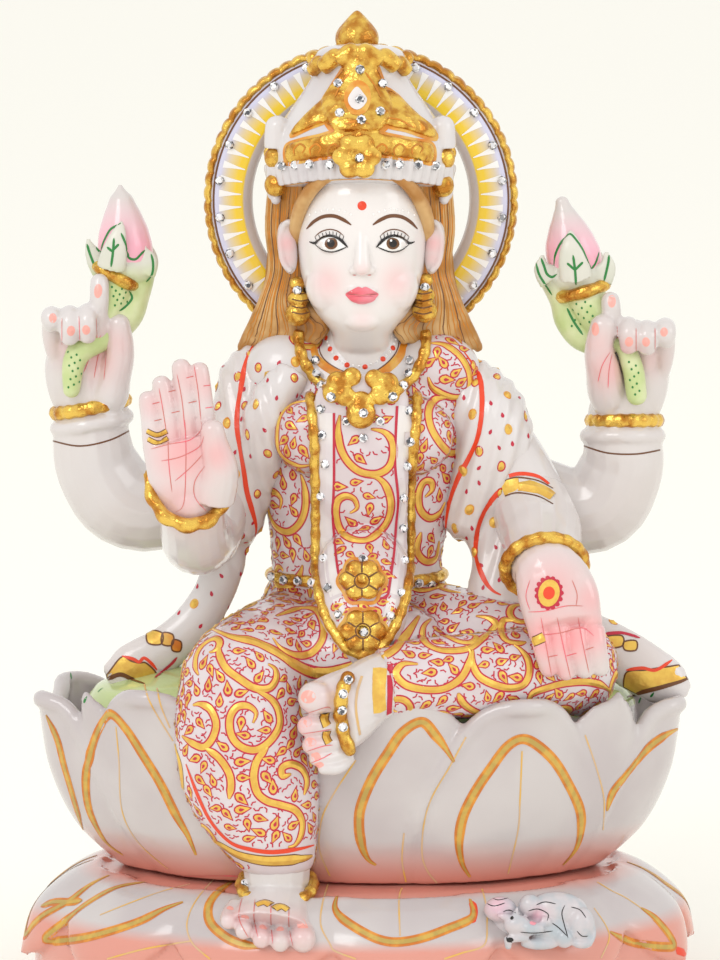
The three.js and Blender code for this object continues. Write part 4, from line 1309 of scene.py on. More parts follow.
def fill(colour, tree, outline, rise=0.08):
    # a flat painted shape: its outline in the picture, filled ring by ring towards its middle
    points, faces = pot(colour)
    places = fromPhoto(tree, outline, 2, closed=True)
    if len(places) < 6:
        return
    middle = sum(places, Vector()) / len(places)
    shares = (0, 0.12, 0.25, 0.4, 0.55, 0.7, 0.85)
    start, count = len(points), len(places)
    for share in shares:
        for place in places:
            found, normal = lay(tree, place.lerp(middle, share))
            points.append(found + normal * rise * unit)
    found, normal = lay(tree, middle)
    points.append(found + normal * rise * unit)
    last = start + (len(shares) - 1) * count
    for i in range(count):
        j = (i + 1) % count
        for row in range(start, last, count):
            faces.append((row + i, row + j, row + j + count, row + i + count))
        faces.append((last + i, last + j, last + count))


class Spread:
    # keeps scattered touches apart from each other and from the lines already drawn
    def __init__(self, gap=2.5, widest=2.6):
        self.gap = gap
        self.widest = widest
        self.cells = {}

    def key(self, place):
        return tuple(int(math.floor(v / unit / self.gap)) for v in place)

    def add(self, place, clear):
        self.cells.setdefault(self.key(place), []).append((place.copy(), clear))

    def free(self, place, clear):
        x, y, z = self.key(place)
        reach = range(-int((clear + self.widest) / self.gap) - 1, int((clear + self.widest) / self.gap) + 2)
        for i in reach:
            for j in reach:
                for k in reach:
                    for other, room in self.cells.get((x + i, y + j, z + k), ()):
                        if (other - place).length < (clear + room) * unit:
                            return False
        return True


def scroll(tree, start, along, size, turn, spread, width=2.0):
    # a gilded tendril: a short stalk that curls into a spiral
    found, normal = lay(tree, start)
    heading = (along - normal * along.dot(normal)).normalized()
    places = [found]
    step = 0.75
    bend = 0.02
    total = size * 5.2
    gone = 0.0
    while gone < total:
        found, normal = lay(tree, places[-1] + heading * step * unit)
        heading = heading - normal * heading.dot(normal)
        if heading.length < 1e-6:
            break
        heading.normalize()
        share = gone / total
        curve = turn * (0.35 + 2.1 * share ** 1.8) / size
        heading = (heading + normal.cross(heading) * curve * step).normalized()
        places.append(found)
        gone += step
    gildedLine(tree, places, width)
    for place in places[::2]:
        spread.add(place, 0.4 + width / 2)
    return places


def scatterPlaces(obj, count, inside):
    # places spread by chance over a carved piece
    polygons = obj.data.polygons
    for i in range(count):
        face = polygons[random.randrange(len(polygons))]
        if inside(face.center / unit, face.normal):
            yield face.center.copy(), face.normal.copy()


# ---- gilt carving laid over the marble, placed as the picture shows it
def cord(tree, pixels, radius, lump=0.0, sink=0.35, step=9, ends=True):
    # a rounded gilt cord along places in the picture
    places = fromPhoto(tree, pixels, step)
    points = []
    for i, place in enumerate(places):
        found, normal = lay(tree, place)
        centre = found + normal * radius * (1 - 2 * sink) * unit
        size = radius * (1 + lump * (1 if i % 2 else -1))
        points.append((centre.x, centre.y, centre.z, size))
    return limb(points, place=flat, roundEnd=ends, sides=4)


def knob(tree, px, py, radius, deep=0.6, out=0.2):
    # a rounded gilt boss facing the way the surface does
    place = seen(tree, px, py)
    found, normal = lay(tree, place)
    dropAll()
    bpy.ops.mesh.primitive_uv_sphere_add(segments=18, ring_count=10, radius=unit)
    obj = bpy.context.object
    obj.scale = (radius, radius, radius * deep)
    obj.rotation_euler = normal.to_track_quat("Z", "Y").to_euler()
    obj.location = found + normal * out * radius * unit
    return settle(obj)


def rosette(tree, px, py, radius, petals=5, first=90, facing=None, out=0):
    # a gilt flower: plump petals about a hollow middle
    place = seen(tree, px, py)
    found, normal = lay(tree, place)
    normal = facing or normal
    found = found + normal * out * unit
    turn = normal.to_track_quat("Z", "Y")
    parts = []
    for i in range(petals):
        angle = math.radians(first + 360 * i / petals)
        dropAll()
        bpy.ops.mesh.primitive_uv_sphere_add(segments=16, ring_count=10, radius=unit)
        obj = bpy.context.object
        obj.scale = (radius * 0.44, radius * 0.4, radius * 0.3)
        obj.rotation_euler = (turn @ Vector((0, 0, 1)).rotation_difference(Vector((0, 0, 1)))).to_euler()
        out = turn @ Vector((math.cos(angle), math.sin(angle), 0))
        obj.location = found + (out * radius * 0.58 + normal * radius * 0.14) * unit
        parts.append(settle(obj))
    dropAll()
    bpy.ops.mesh.primitive_uv_sphere_add(segments=16, ring_count=10, radius=unit)
    obj = bpy.context.object
    obj.scale = (radius * 0.66, radius * 0.66, radius * 0.2)
    obj.rotation_euler = turn.to_euler()
    obj.location = found
    parts.append(settle(obj))
    return parts


def plate(tree, pixels, thick=1.2, dome=1.0, sink=1.4, step=4):
    # a gilt plate with this outline in the picture, domed towards its middle
    edge = fromPhoto(tree, pixels, step, closed=True)
    middle = sum(edge, Vector()) / len(edge)
    rings = [(1.0, -sink), (1.0, thick * 0.4), (0.93, thick), (0.75, thick + dome * 0.5), (0.5, thick + dome * 0.8),
             (0.25, thick + dome)]
    points, faces = [], []
    for share, height in rings + [(0.0, thick + dome), (0.0, -sink)]:
        for place in edge if share else [middle]:
            found, normal = lay(tree, middle.lerp(place, share))
            points.append(found + normal * height * unit)
    count = len(edge)
    top, bottom = count * len(rings), count * len(rings) + 1
    for i in range(count):
        j = (i + 1) % count
        for r in range(len(rings) - 1):
            faces.append((r * count + i, r * count + j, (r + 1) * count + j, (r + 1) * count + i))
        faces.append((count * (len(rings) - 1) + i, count * (len(rings) - 1) + j, top))
        faces.append((j, i, bottom))
    obj = meshFrom("plate", points, faces)
    pick(obj)
    bpy.ops.object.mode_set(mode="EDIT")
    bpy.ops.mesh.select_all(action="SELECT")
    bpy.ops.mesh.normals_make_consistent(inside=False)
    bpy.ops.object.mode_set(mode="OBJECT")
    return obj


print("gilt carving")
chestTree = surfaceOf(torsoPiece, sashPiece, skirtPiece, veilPiece, hairPiece)
giltLines = {
    # name: (places in the picture, radius in mm, unevenness)
    "collarLeft": ([(300, 330), (299, 347), (306, 366), (318, 381), (333, 393)], 1.75, 0.12),
    "collarRight": ([(425, 330), (426, 347), (420, 366), (409, 381), (393, 394)], 1.75, 0.12),
    "sashLeft": ([(310, 396), (313, 425), (315, 455), (317, 490), (317, 525), (317, 560), (319, 588), (325, 612), (335, 632),
                  (347, 648), (362, 655)], 1.6, 0.1),
    "sashRight": ([(417, 396), (416, 425), (413, 455), (410, 490), (410, 525), (409, 560), (406, 590), (400, 612), (391, 632),
                   (379, 648), (362, 655)], 1.6, 0.1),
}


def buildNecklace():
    parts = [cord(chestTree, pixels, radius, lump) for pixels, radius, lump in giltLines.values()]
    for px, py, radius in ((338, 383, 3.6), (352, 377, 3), (333, 393, 3.2), (345, 396, 3.2), (374, 379, 3), (387, 384, 3.6),
                           (380, 395, 3.2), (391, 396, 2.6), (361, 402, 3.4), (361, 414, 4.6)):
        parts.append(knob(chestTree, px, py, radius))
    for px, py in ((362, 581), (363, 631)):
        parts += rosette(chestTree, px, py, 7, petals=6, first=60)
    parts.append(hoop(at(-1, 4, 36.4), Vector((0, 0, 1)), 26.4, 17.9, 1.9, beads=40, swell=0.06))
    return fuse("giltNecklace", parts, 0.42, 2)


necklacePiece = buildNecklace()


bangles = [
    # middle (x, y, v), the limb's direction, half width, half depth, thickness
    ((55.2, -34.6, 39.4), (0.6, -6, -4), 11.9, 11.6, 2),
    ((-82.7, 12, 88.4), (-0.2, 0.05, 1), 10.6, 10.8, 2.3),
    ((81.2, 12, 84), (0, 0.12, 1), 10, 10.6, 2.3),
]
wristLoop = [
    # the bangle of the raised hand hangs forward: (x, y, v, thickness)
    (-63.2, -41, 67.5, 1.2), (-62, -45, 60.5, 1.8), (-57.8, -48.6, 54.4, 2.1), (-51.4, -50, 51.8, 2.2), (-45, -49, 53.2, 2.1),
    (-40.6, -45, 58, 1.8), (-39.2, -40, 63.4, 1.3), (-43, -35.6, 66.5, 1.3), (-51, -34.6, 68, 1.3), (-59, -36, 69, 1.3),
    (-63.2, -41, 67.5, 1.2),
]


def buildBangles():
    parts = []
    for middle, axis, wide, deep, radius in bangles:
        parts.append(hoop(at(*middle), Vector(axis), wide, deep, radius, beads=18, swell=0.09))
    lumps = []
    for i, (x, y, v, radius) in enumerate(wristLoop[:-1]):
        x2, y2, v2, radius2 = wristLoop[i + 1]
        lumps += [(x, y, v, radius * 1.12), ((x + x2) / 2, (y + y2) / 2, (v + v2) / 2, (radius + radius2) / 2 * 0.94)]
    parts.append(limb(lumps + [wristLoop[-1]], roundEnd=False, sides=5))
    # anklets
    parts.append(hoop(footPlace(-24.8, -48, 38.2), Vector((0, -0.3, 1)), 10.8, 11.6, 1.9, beads=16, swell=0.1))
    parts.append(cord(surfaceOf(foldedPiece), [(350, 677), (345, 683), (342, 694), (341, 708), (342, 722), (344, 736), (349, 750)],
                      2.1, 0.08))
    return fuse("giltBangles", parts, 0.42, 1)


banglePiece = buildBangles()

crownTree = surfaceOf(crownPiece)


crownPlates = {
    # name: (outline in the picture, thickness, dome)
    "jewel": ([(358, 51), (348, 64), (340, 76), (332, 88), (325, 99), (323, 108), (326, 119), (333, 129), (343, 133),
               (357, 132), (373, 133), (383, 128), (389, 119), (390, 105), (385, 92), (377, 70), (368, 56)], 2.4, 0.4),
    "wingLeft": ([(326, 100), (311, 112), (300, 124), (292, 135), (309, 128), (330, 118)], 1.1, 0.9),
    "wingRight": ([(385, 92), (396, 95), (408, 107), (420, 119), (433, 130), (433, 138), (407, 130), (384, 122)], 1.1, 0.9),
    "bandLeft": ([(287, 147), (300, 141), (318, 137), (336, 132), (352, 131), (352, 156), (334, 156), (318, 158),
                  (300, 161), (288, 162)], 1.2, 0.7),
    "bandRight": ([(352, 131), (372, 132), (390, 136), (410, 140), (431, 145), (431, 162), (414, 159), (396, 157),
                   (379, 155), (352, 156)], 1.2, 0.7),
}
crownLobes = [
    # the rolled lobes of the lip: places in the picture and how thick
    ([(316, 71), (321, 63)], 2.4), ([(325, 67), (336, 58)], 2.8), ([(339, 62), (351, 54)], 2.9),
    ([(403, 71), (398, 63)], 2.4), ([(394, 66), (384, 58)], 2.8), ([(380, 62), (365, 54)], 2.9),
]


def buildCrownGold():
    parts = [plate(crownTree, pixels, thick, dome) for pixels, thick, dome in crownPlates.values()]
    for pixels, radius in crownLobes:
        points = []
        for px, py in pixels:
            found, normal = lay(crownTree, seen(crownTree, px, py))
            points.append((*(found + normal * 0.9 * unit), radius))
        parts.append(limb(points, place=flat, sides=4))
    for i in range(12):
        # the lip goes on round the back
        angle = math.pi * (i + 0.5) / 12
        dropAll()
        bpy.ops.mesh.primitive_uv_sphere_add(segments=14, ring_count=8, radius=2.5 * unit, location=crownRim(angle, 194))
        parts.append(settle(bpy.context.object))
    # the gilt band goes on round the back as well
    points = [(*crownRim(math.pi * i / 20, 165.6, -1), 2.6) for i in range(-1, 22)]
    parts.append(limb(points, place=flat, sides=4, roundEnd=False))
    return fuse("crownGilding", parts, 0.45, 2)


crownGoldPiece = buildCrownGold()
headTree = surfaceOf(crownPiece, crownGoldPiece)


def buildKnobs():
    parts = rosette(headTree, 357, 157, 7.4, petals=6, first=60, facing=Vector((0, -0.98, 0.2)), out=0.8)
    for x, v, radius in ((-25.6, 163.6, 3.3), (-25.4, 155.4, 3.5), (25.4, 163.4, 3.3), (24.9, 155.2, 3.5)):
        parts.append(ball(x, -6.5, v, radius, 3.4, radius * 1.05))
    for x, v in ((-18.9, 119.5), (19.6, 120.5)):
        # the bell of the earring under its glass stone
        parts.append(ball(x, -6.5, v + 6, 2.6, 2.4, 2.2))
        parts.append(ball(x - 0.2 * (1 if x > 0 else -1), -6.5, v + 1.4, 3.4, 3.1, 2.6))
        parts.append(ball(x, -6.5, v - 3.4, 3.9, 3.6, 3.6))
    return fuse("giltKnobs", parts, 0.42, 1)


knobPiece = buildKnobs()


# ---- painted lines, read off the picture
blouseScrolls = {
    "centreUpper": [(340, 415), (338, 431), (341, 449), (349, 463), (361, 472), (376, 474), (388, 468),
        (393, 456), (392, 441), (384, 432), (371, 429)],
    "centreLower": [(363, 475), (378, 478), (387, 488), (391, 504), (388, 520), (379, 532), (367, 540),
        (352, 539), (341, 531), (336, 516), (337, 502), (345, 496), (354, 499), (357, 508), (350, 513)],
    "bustLeft": [(306, 401), (292, 404), (281, 415), (277, 431), (278, 449), (286, 460), (299, 466),
        (310, 465)],
    "waistLeft": [(301, 474), (305, 490), (305, 509), (299, 524), (288, 532), (276, 527), (269, 513),
        (268, 497), (274, 492), (281, 499), (280, 509)],
    "shoulderRight": [(431, 343), (445, 345), (460, 356), (469, 372), (469, 388), (460, 397), (447, 396),
        (433, 388), (428, 377)],
    "bustRight": [(451, 397), (436, 399), (429, 409), (430, 424), (438, 440), (451, 453), (463, 447),
        (470, 434), (472, 420)],
    "waistRight": [(425, 497), (432, 490), (431, 482), (424, 482), (419, 493), (420, 509), (429, 518),
        (439, 514), (445, 502)],
    "lowRight": [(421, 532), (417, 550), (425, 561), (436, 558), (439, 541)],
}
skirtScrolls = {
    "kneeTop": [(220, 640), (219, 653), (226, 668), (240, 679), (255, 688), (269, 688), (276, 679), (275, 669),
        (268, 664)],
    "kneeLeft": [(193, 705), (200, 704), (210, 709), (216, 723), (213, 737), (204, 747), (192, 743),
        (182, 736)],
    "kneeRight": [(253, 723), (256, 713), (248, 706), (237, 707), (230, 718), (231, 734), (240, 746),
        (255, 750), (269, 742), (279, 727), (279, 713), (273, 701), (260, 692), (250, 688)],
    "shinStemLeft": [(205, 748), (218, 757), (228, 771), (231, 784), (229, 799)],
    "shinStemRight": [(268, 747), (258, 759), (254, 774), (256, 789), (262, 800)],
    "shinCurl": [(291, 774), (283, 776), (282, 768), (291, 764), (302, 769), (307, 781), (304, 795)],
    "shinLow": [(254, 760), (253, 775), (257, 792), (267, 801), (281, 805), (295, 810), (302, 821), (301, 835),
        (295, 845), (288, 847)],
    "lapLeft": [(276, 616), (301, 608), (316, 610), (323, 623), (322, 640), (311, 653), (296, 655), (281, 648),
        (273, 638)],
    "lapRight": [(431, 619), (424, 626), (423, 638), (430, 646), (443, 650), (460, 650), (473, 646),
        (486, 635), (496, 625), (489, 618), (476, 616)],
    "thighMiddle": [(418, 664), (403, 664), (396, 673), (403, 683), (415, 688), (431, 690), (446, 688),
        (460, 679), (468, 666), (471, 653), (466, 646)],
    "thighRound": [(473, 650), (473, 664), (479, 676), (493, 684), (509, 688), (523, 685), (529, 674),
        (528, 660), (521, 650), (514, 645)],
    "thighUpper": [(514, 621), (504, 620), (501, 630), (506, 640), (518, 643), (526, 642)],
    "kneeEnd": [(527, 706), (532, 694), (547, 688), (567, 683), (589, 682), (605, 687), (615, 698)],
    "thighLow": [(458, 693), (463, 703), (474, 711), (488, 715), (499, 713)],
}
veilEdges = {
    "leftInner": [(254, 344), (246, 361), (242, 381), (238, 406), (237, 426), (240, 447), (244, 472),
        (247, 492), (252, 510), (256, 526), (255, 538)],
    "leftElbow": [(233, 508), (237, 524), (236, 538), (229, 552), (217, 560), (203, 564)],
    "rightInner": [(464, 352), (473, 365), (480, 379), (482, 399), (481, 420), (477, 440), (469, 458),
        (460, 474), (454, 488), (449, 504), (446, 524), (445, 544)],
    "rightOuter": [(528, 452), (521, 465), (509, 483), (496, 495), (485, 510), (478, 528), (476, 545),
        (477, 561), (484, 579), (492, 590), (501, 595)],
}
bustBand = {
    "bustBandGold": [(302, 379), (286, 386), (272, 397), (261, 411), (256, 427), (256, 445), (259, 460)],
    "bustBandRed": [(303, 386), (292, 391), (279, 400), (269, 413), (263, 429), (261, 445), (262, 461)],
}
centreEdges = {
    "left": [(334, 413), (334, 445), (334, 481), (333, 516), (335, 543), (338, 570), (344, 595)],
    "right": [(397, 406), (396, 427), (395, 463), (398, 499), (396, 525), (394, 552), (391, 574), (388, 595)],
}
hemLines = {
    # name: (width, width of its dark edge, places in the picture)
    "lap": (3.2, 0.45, [(206, 626), (230, 636), (253, 641), (273, 650), (293, 663), (309, 671), (327, 673), (347, 669),
                        (369, 662), (389, 653), (404, 638), (419, 616)]),
    "shin": (3.2, 0.3, [(174, 676), (174, 709), (175, 742), (180, 767), (184, 798), (193, 821), (207, 837), (222, 846),
                        (241, 856), (268, 861), (300, 859), (312, 856)]),
}
hemInner = [(186, 764), (199, 798), (212, 823), (230, 842), (249, 849), (272, 852), (298, 849), (314, 845)]

petalLines = {
    "left": [(123, 855), (106, 842), (93, 820), (87, 800), (86, 776), (91, 752), (99, 729), (110, 714), (126, 729),
        (144, 757), (160, 783), (176, 815), (188, 836), (196, 855)],
    "leftEdge": [(46, 715), (57, 739), (64, 766), (73, 797), (82, 827), (88, 840)],
    "middle": [(376, 865), (368, 859), (362, 846), (359, 826), (361, 806), (372, 779), (388, 753), (403, 732),
        (422, 722), (436, 736), (446, 749), (454, 762)],
    "right": [(470, 877), (462, 863), (459, 842), (463, 817), (475, 792), (491, 768), (507, 747), (522, 739), (537, 745),
        (555, 762), (570, 787), (580, 810), (581, 830), (576, 849), (563, 865)],
    "rightEdge": [(685, 726), (666, 735), (645, 751), (626, 776), (613, 792), (607, 811)],
}
baseLines = {
    "leftUpper": [(145, 882), (115, 888), (86, 904), (63, 923), (45, 940), (76, 939), (107, 932), (140, 921), (164, 909),
        (183, 902)],
    "farLeft": [(41, 906), (54, 902), (68, 902), (82, 901)],
    "foot": [(235, 880), (220, 890), (209, 905), (210, 922), (224, 936), (241, 944), (262, 947)],
    "middle": [(337, 896), (335, 908), (343, 919), (363, 932), (381, 940), (399, 942), (422, 938), (447, 929),
        (472, 917), (470, 899)],
    "right": [(610, 932), (626, 940), (645, 945), (665, 947), (674, 945), (668, 933), (654, 917), (641, 908)],
}
thinLines = {
    "leftVein": [(116, 727), (119, 760), (122, 810), (138, 842), (168, 869)],
    "rightVein": [(522, 751), (520, 799), (518, 830), (508, 874)],
    "middleVein": [(404, 833), (402, 860), (406, 882)],
    "middleVeinLow": [(402, 888), (399, 900), (400, 936)],
    "petalMiddleLeft": [(356, 760), (336, 790), (323, 815), (319, 840), (321, 855), (330, 876)],
    "petalMiddleRight": [(466, 737), (450, 766), (432, 797), (424, 823), (422, 853), (427, 870), (437, 883)],
    "petalRight": [(585, 735), (597, 770), (604, 800), (603, 830)],
    "behindKnee": [(144, 683), (149, 700), (160, 720), (173, 741)],
    "behindKneeVein": [(157, 688), (161, 706), (170, 728)],
    "baseFoot": [(216, 877), (200, 895), (190, 912), (187, 928), (193, 944), (210, 959)],
    "baseLeft": [(191, 941), (166, 945), (140, 950), (107, 959)],
    "baseMiddleLeft": [(328, 884), (322, 906), (321, 926), (330, 944), (335, 951), (356, 959)],
    "baseMiddleRight": [(482, 889), (486, 905), (487, 923), (484, 945), (462, 953), (444, 959)],
    "baseRight": [(594, 908), (606, 926), (609, 939), (601, 958)],
    "baseFarRight": [(597, 882), (612, 891), (626, 898), (651, 915)],
    "baseLeftVein": [(190, 884), (160, 892), (130, 903), (100, 915)],
}
creaseShadeLine = [(110, 872), (172, 876), (235, 876), (330, 882), (373, 884), (439, 885), (499, 884), (560, 881), (594, 873)]

clothTree = surfaceOf(torsoPiece, sashPiece)
torsoTree, skirtTree, veilTree = surfaceOf(torsoPiece), surfaceOf(skirtPiece), surfaceOf(veilPiece)
seatTree, baseTree = surfaceOf(seatPiece), surfaceOf(basePiece)
rnd = random.Random(11)


def keepClear(spread, places, room):
    for place in places[::2]:
        spread.add(place, room)


def acrossAt(edge, py):
    # how far across the picture an edge is at this height
    for (x1, y1), (x2, y2) in zip(edge, edge[1:]):
        if y1 <= py <= y2:
            return x1 + (x2 - x1) * (py - y1) / (y2 - y1)
    return edge[0][0] if py < edge[0][1] else edge[-1][0]


zoneEdges = {
    "neckLeft": [(300, 330), (299, 347), (306, 366), (318, 381), (346, 400)],
    "neckRight": [(425, 330), (426, 347), (420, 366), (409, 381), (376, 400)],
    "veilLeft": [(302, 379), (286, 386), (272, 397), (258, 415), (254, 445), (247, 492), (252, 510), (256, 530)],
    "veilRight": [(464, 352), (473, 365), (480, 379), (482, 399), (481, 420), (477, 440), (469, 458), (460, 474),
                  (454, 488), (449, 504), (446, 524), (445, 544)],
}


def zone(place):
    # what the torso wears at this place
    px, py = photoPlace(place)
    if py < 400 and place.y < 0 and acrossAt(zoneEdges["neckLeft"], py) < px < acrossAt(zoneEdges["neckRight"], py):
        return "neck"
    if py < 545 and (px < acrossAt(zoneEdges["veilLeft"], py) or px > acrossAt(zoneEdges["veilRight"], py)):
        return "veil"
    return "veil" if place.y > 12 * unit else "cloth"


def drawScrolls(tree, scrolls, spread):
    for pixels in scrolls.values():
        places = fromPhoto(tree, pixels, 2)
        if len(places) > 3:
            gildedLine(tree, places, 2.0)
            keepClear(spread, places, 1.3)


def sprinkle(obj, tree, spread, seeds, leaves, inside):
    # further tendrils, then leaf sprigs in what is left, then crimson specks
    for place, normal in scatterPlaces(obj, seeds, inside):
        if spread.free(place, 7):
            along = Vector((rnd.uniform(-1, 1), rnd.uniform(-1, 1), rnd.uniform(-1, 1)))
            along -= normal * along.dot(normal)
            if along.length > 0.1:
                scroll(tree, place, along.normalized(), rnd.uniform(3.8, 5.2), rnd.choice((-1, 1)), spread, 1.9)
    for place, normal in scatterPlaces(obj, leaves, inside):
        if spread.free(place, 1.7):
            along = Vector((rnd.uniform(-1, 1), rnd.uniform(-1, 1), rnd.uniform(-1, 1)))
            leaf(tree, place, along, rnd.uniform(0.85, 1.1))
            spread.add(place, 1.7)
    for place, normal in scatterPlaces(obj, leaves, inside):
        if spread.free(place, 0.45):
            # a small curved tendril
            along = Vector((rnd.uniform(-1, 1), rnd.uniform(-1, 1), rnd.uniform(-1, 1)))
            along = (along - normal * along.dot(normal)).normalized() * 0.9 * unit
            bow = normal.cross(along) * rnd.choice((-0.5, 0.5))
            stroke("crimson", tree, [place - along, place + bow, place + along], 0.42, 0.08)
            spread.add(place, 0.75)


def paintDress():
    both = surfaceOf(veilPiece, torsoPiece)
    spread = Spread()
    for pixels in veilEdges.values():
        stroke("orangeRed", both, fromPhoto(both, pixels, 2), 1.6, 0.12, pointed=True)
    for name, pixels in bustBand.items():
        places = fromPhoto(torsoTree, pixels, 2)
        stroke("goldPaint" if "Gold" in name else "orangeRed", torsoTree, places, 3 if "Gold" in name else 1.3, 0.16, crown=0.1,
               pointed=True)
        keepClear(spread, places, 2)
    stroke("crimson", clothTree, fromPhoto(clothTree, [(344, 595), (352, 601), (364, 603), (378, 601), (388, 595)], 2), 0.9, 0.12)
    for pixels in ([(337, 598), (342, 616), (350, 632)], [(392, 598), (388, 616), (380, 632)]):
        stroke("plain", clothTree, fromPhoto(clothTree, pixels, 2), 3, 0.08)
    for name, pixels in centreEdges.items():
        side = 1 if name == "left" else -1
        stroke("crimson", clothTree, fromPhoto(clothTree, pixels, 2), 0.8, 0.12)
        # the white band between the centre panel and the gilt cord
        places = fromPhoto(clothTree, [(px - side * 8, py) for px, py in pixels], 2)
        stroke("plain", clothTree, places, 4.2, 0.08)
        keepClear(spread, places, 2)
    drawScrolls(clothTree, blouseScrolls, spread)
    sprinkle(torsoPiece, clothTree, spread, 900, 7000,
             lambda p, n: 134 < p.z < 210 and not (abs(p.x - 0.5) < 13 and p.y < -8) and zone(p * unit) == "cloth")
    sprinkle(sashPiece, clothTree, spread, 60, 3000,
             lambda p, n: p.z > 124 and abs(p.x - 0.8) < 9.4 and n.y < -0.3 and zone(p * unit) == "cloth")
    spread = Spread()
    for name, (width, edge, pixels) in hemLines.items():
        places = fromPhoto(skirtTree, pixels, 2)
        gildedLine(skirtTree, places, width, edge, outline="crimson" if edge > 0.3 else "brown")
        keepClear(spread, places, 2.6)
    places = fromPhoto(skirtTree, hemInner, 2)
    stroke("orangeRed", skirtTree, places, 1.5, 0.12, pointed=True)
    keepClear(spread, places, 1.4)
    drawScrolls(skirtTree, skirtScrolls, spread)
    sprinkle(skirtPiece, skirtTree, spread, 1600, 15000, lambda p, n: p.z > 52)


def paintVeil(piece, tree, inside):
    spread = Spread(4, 3.5)
    for place, normal in scatterPlaces(piece, 1400, inside):
        if spread.free(place, 3.5):
            size = rnd.uniform(0.9, 1.15)
            along = Vector((rnd.uniform(-0.5, 0.5), 0, 1))
            dab("crimson" if rnd.random() < 0.6 else "ochre", tree, place, along, 3.3 * size, 2.8 * size, 0.07, sides=12)
            dab("goldPaint", tree, place, along, 2.6 * size, 2.1 * size, 0.1, crown=0.5, sides=12)
            spread.add(place, 3.5)
    for place, normal in scatterPlaces(piece, 1200, inside):
        if spread.free(place, 0.8):
            dab("crimson", tree, place, Vector((rnd.uniform(-1, 1), 0, 1)), 1.6, 1.1, 0.08, tail=0.4, sides=8)
            spread.add(place, 3.4)


print("painting the dress")
paintDress()


def plainVeil(p):
    # the painted ends have no beads
    px, py = photoPlace(p * unit)
    return not (py > 622 and (px < 192 or px > 598))


paintVeil(veilPiece, veilTree, lambda p, n: plainVeil(p))
paintVeil(torsoPiece, torsoTree, lambda p, n: p.z < 198 and zone(p * unit) == "veil")
tintAndShade(torsoPiece, "bare", lambda p, n: 0 if zone(p * unit) == "cloth" else 1)


def petalOutline(bowl, angle, spread, tall, lift, inset, low, high, count=15):
    # an arch inside the petal's edge, from its foot up to a point and down again
    places = []
    for i in range(count):
        t = 2 * i / (count - 1) - 1
        v = low + (high - low) * (1 - abs(t)) ** 0.8
        u = inset * (-1 if t < 0 else 1) * min(1, abs(t) * 1.9) ** 0.75
        places.append(petalPlace(bowl, angle, spread, tall, lift, u, v))
    return places


def archLine(tree, places, width):
    # a bold burnt orange line with an old gold heart
    stroke("burnt", tree, places, width, 0.08, pointed=True)
    stroke("oldGold", tree, places, width * 0.46, 0.14, pointed=True)


def paintLotus():
    for pixels in petalLines.values():
        archLine(seatTree, fromPhoto(seatTree, pixels, 2), 3.2)
    for pixels in baseLines.values():
        archLine(baseTree, fromPhoto(baseTree, pixels, 2), 3.0)
    for name, pixels in thinLines.items():
        tree = baseTree if name.startswith("base") or name.endswith("Low") else seatTree
        stroke("tan", tree, fromPhoto(tree, pixels, 2), 0.5, 0.07)
    # a thin rose line along the crease between seat and base: painted shade
    stroke("skinLine", seatTree, fromPhoto(seatTree, creaseShadeLine, 2), 0.5, 0.07)
    for pixels in ([(16, 957), (20, 944), (28, 931)], [(676, 950), (684, 953), (690, 958)], [(471, 923), (474, 912), (472, 901)]):
        stroke("orangeRed", baseTree, fromPhoto(baseTree, pixels, 2), 2.4, 0.07, pointed=True)
    for angle, spread, tall, lift in seat["petals"]:
        if 0 <= angle <= 180:
            archLine(seatTree, smoothLine(petalOutline(seat, angle, spread, tall, lift, 0.62, 0.12, 0.86), 1.5 * unit), 3.2)
            vein = [petalPlace(seat, angle, spread, tall, lift, 0, v / 10) for v in range(1, 9)]
            stroke("tan", seatTree, smoothLine(vein, 1.5 * unit), 0.42, 0.07)
    step = 360 / base["count"]
    for i in range(base["count"]):
        angle = (base["first"] + i * step) % 360
        if angle < 195 or angle > 345:
            places = petalOutline(base, angle, base["spread"], 1, 0.4, 0.66, 0.12, 0.84)
            archLine(baseTree, smoothLine(places, 1.5 * unit), 3.0)


print("painting the lotus")
paintLotus()
tintAndShade(seatPiece, "blush", lambda p, n: (58 - p.z) / 13 if p.z < 58 else 0)
tintAndShade(seatPiece, "green", lambda p, n: 1 if p.z > 84 and (p.x / 88) ** 2 + (p.y / 46) ** 2 < 0.96 and n.z > 0.3 else 0)
tintAndShade(basePiece, "blush", lambda p, n: min(1, (p.z - 32) / 8) * (0.84 - (p.x / 96) ** 2 - (p.y / 62) ** 2) / 0.16)


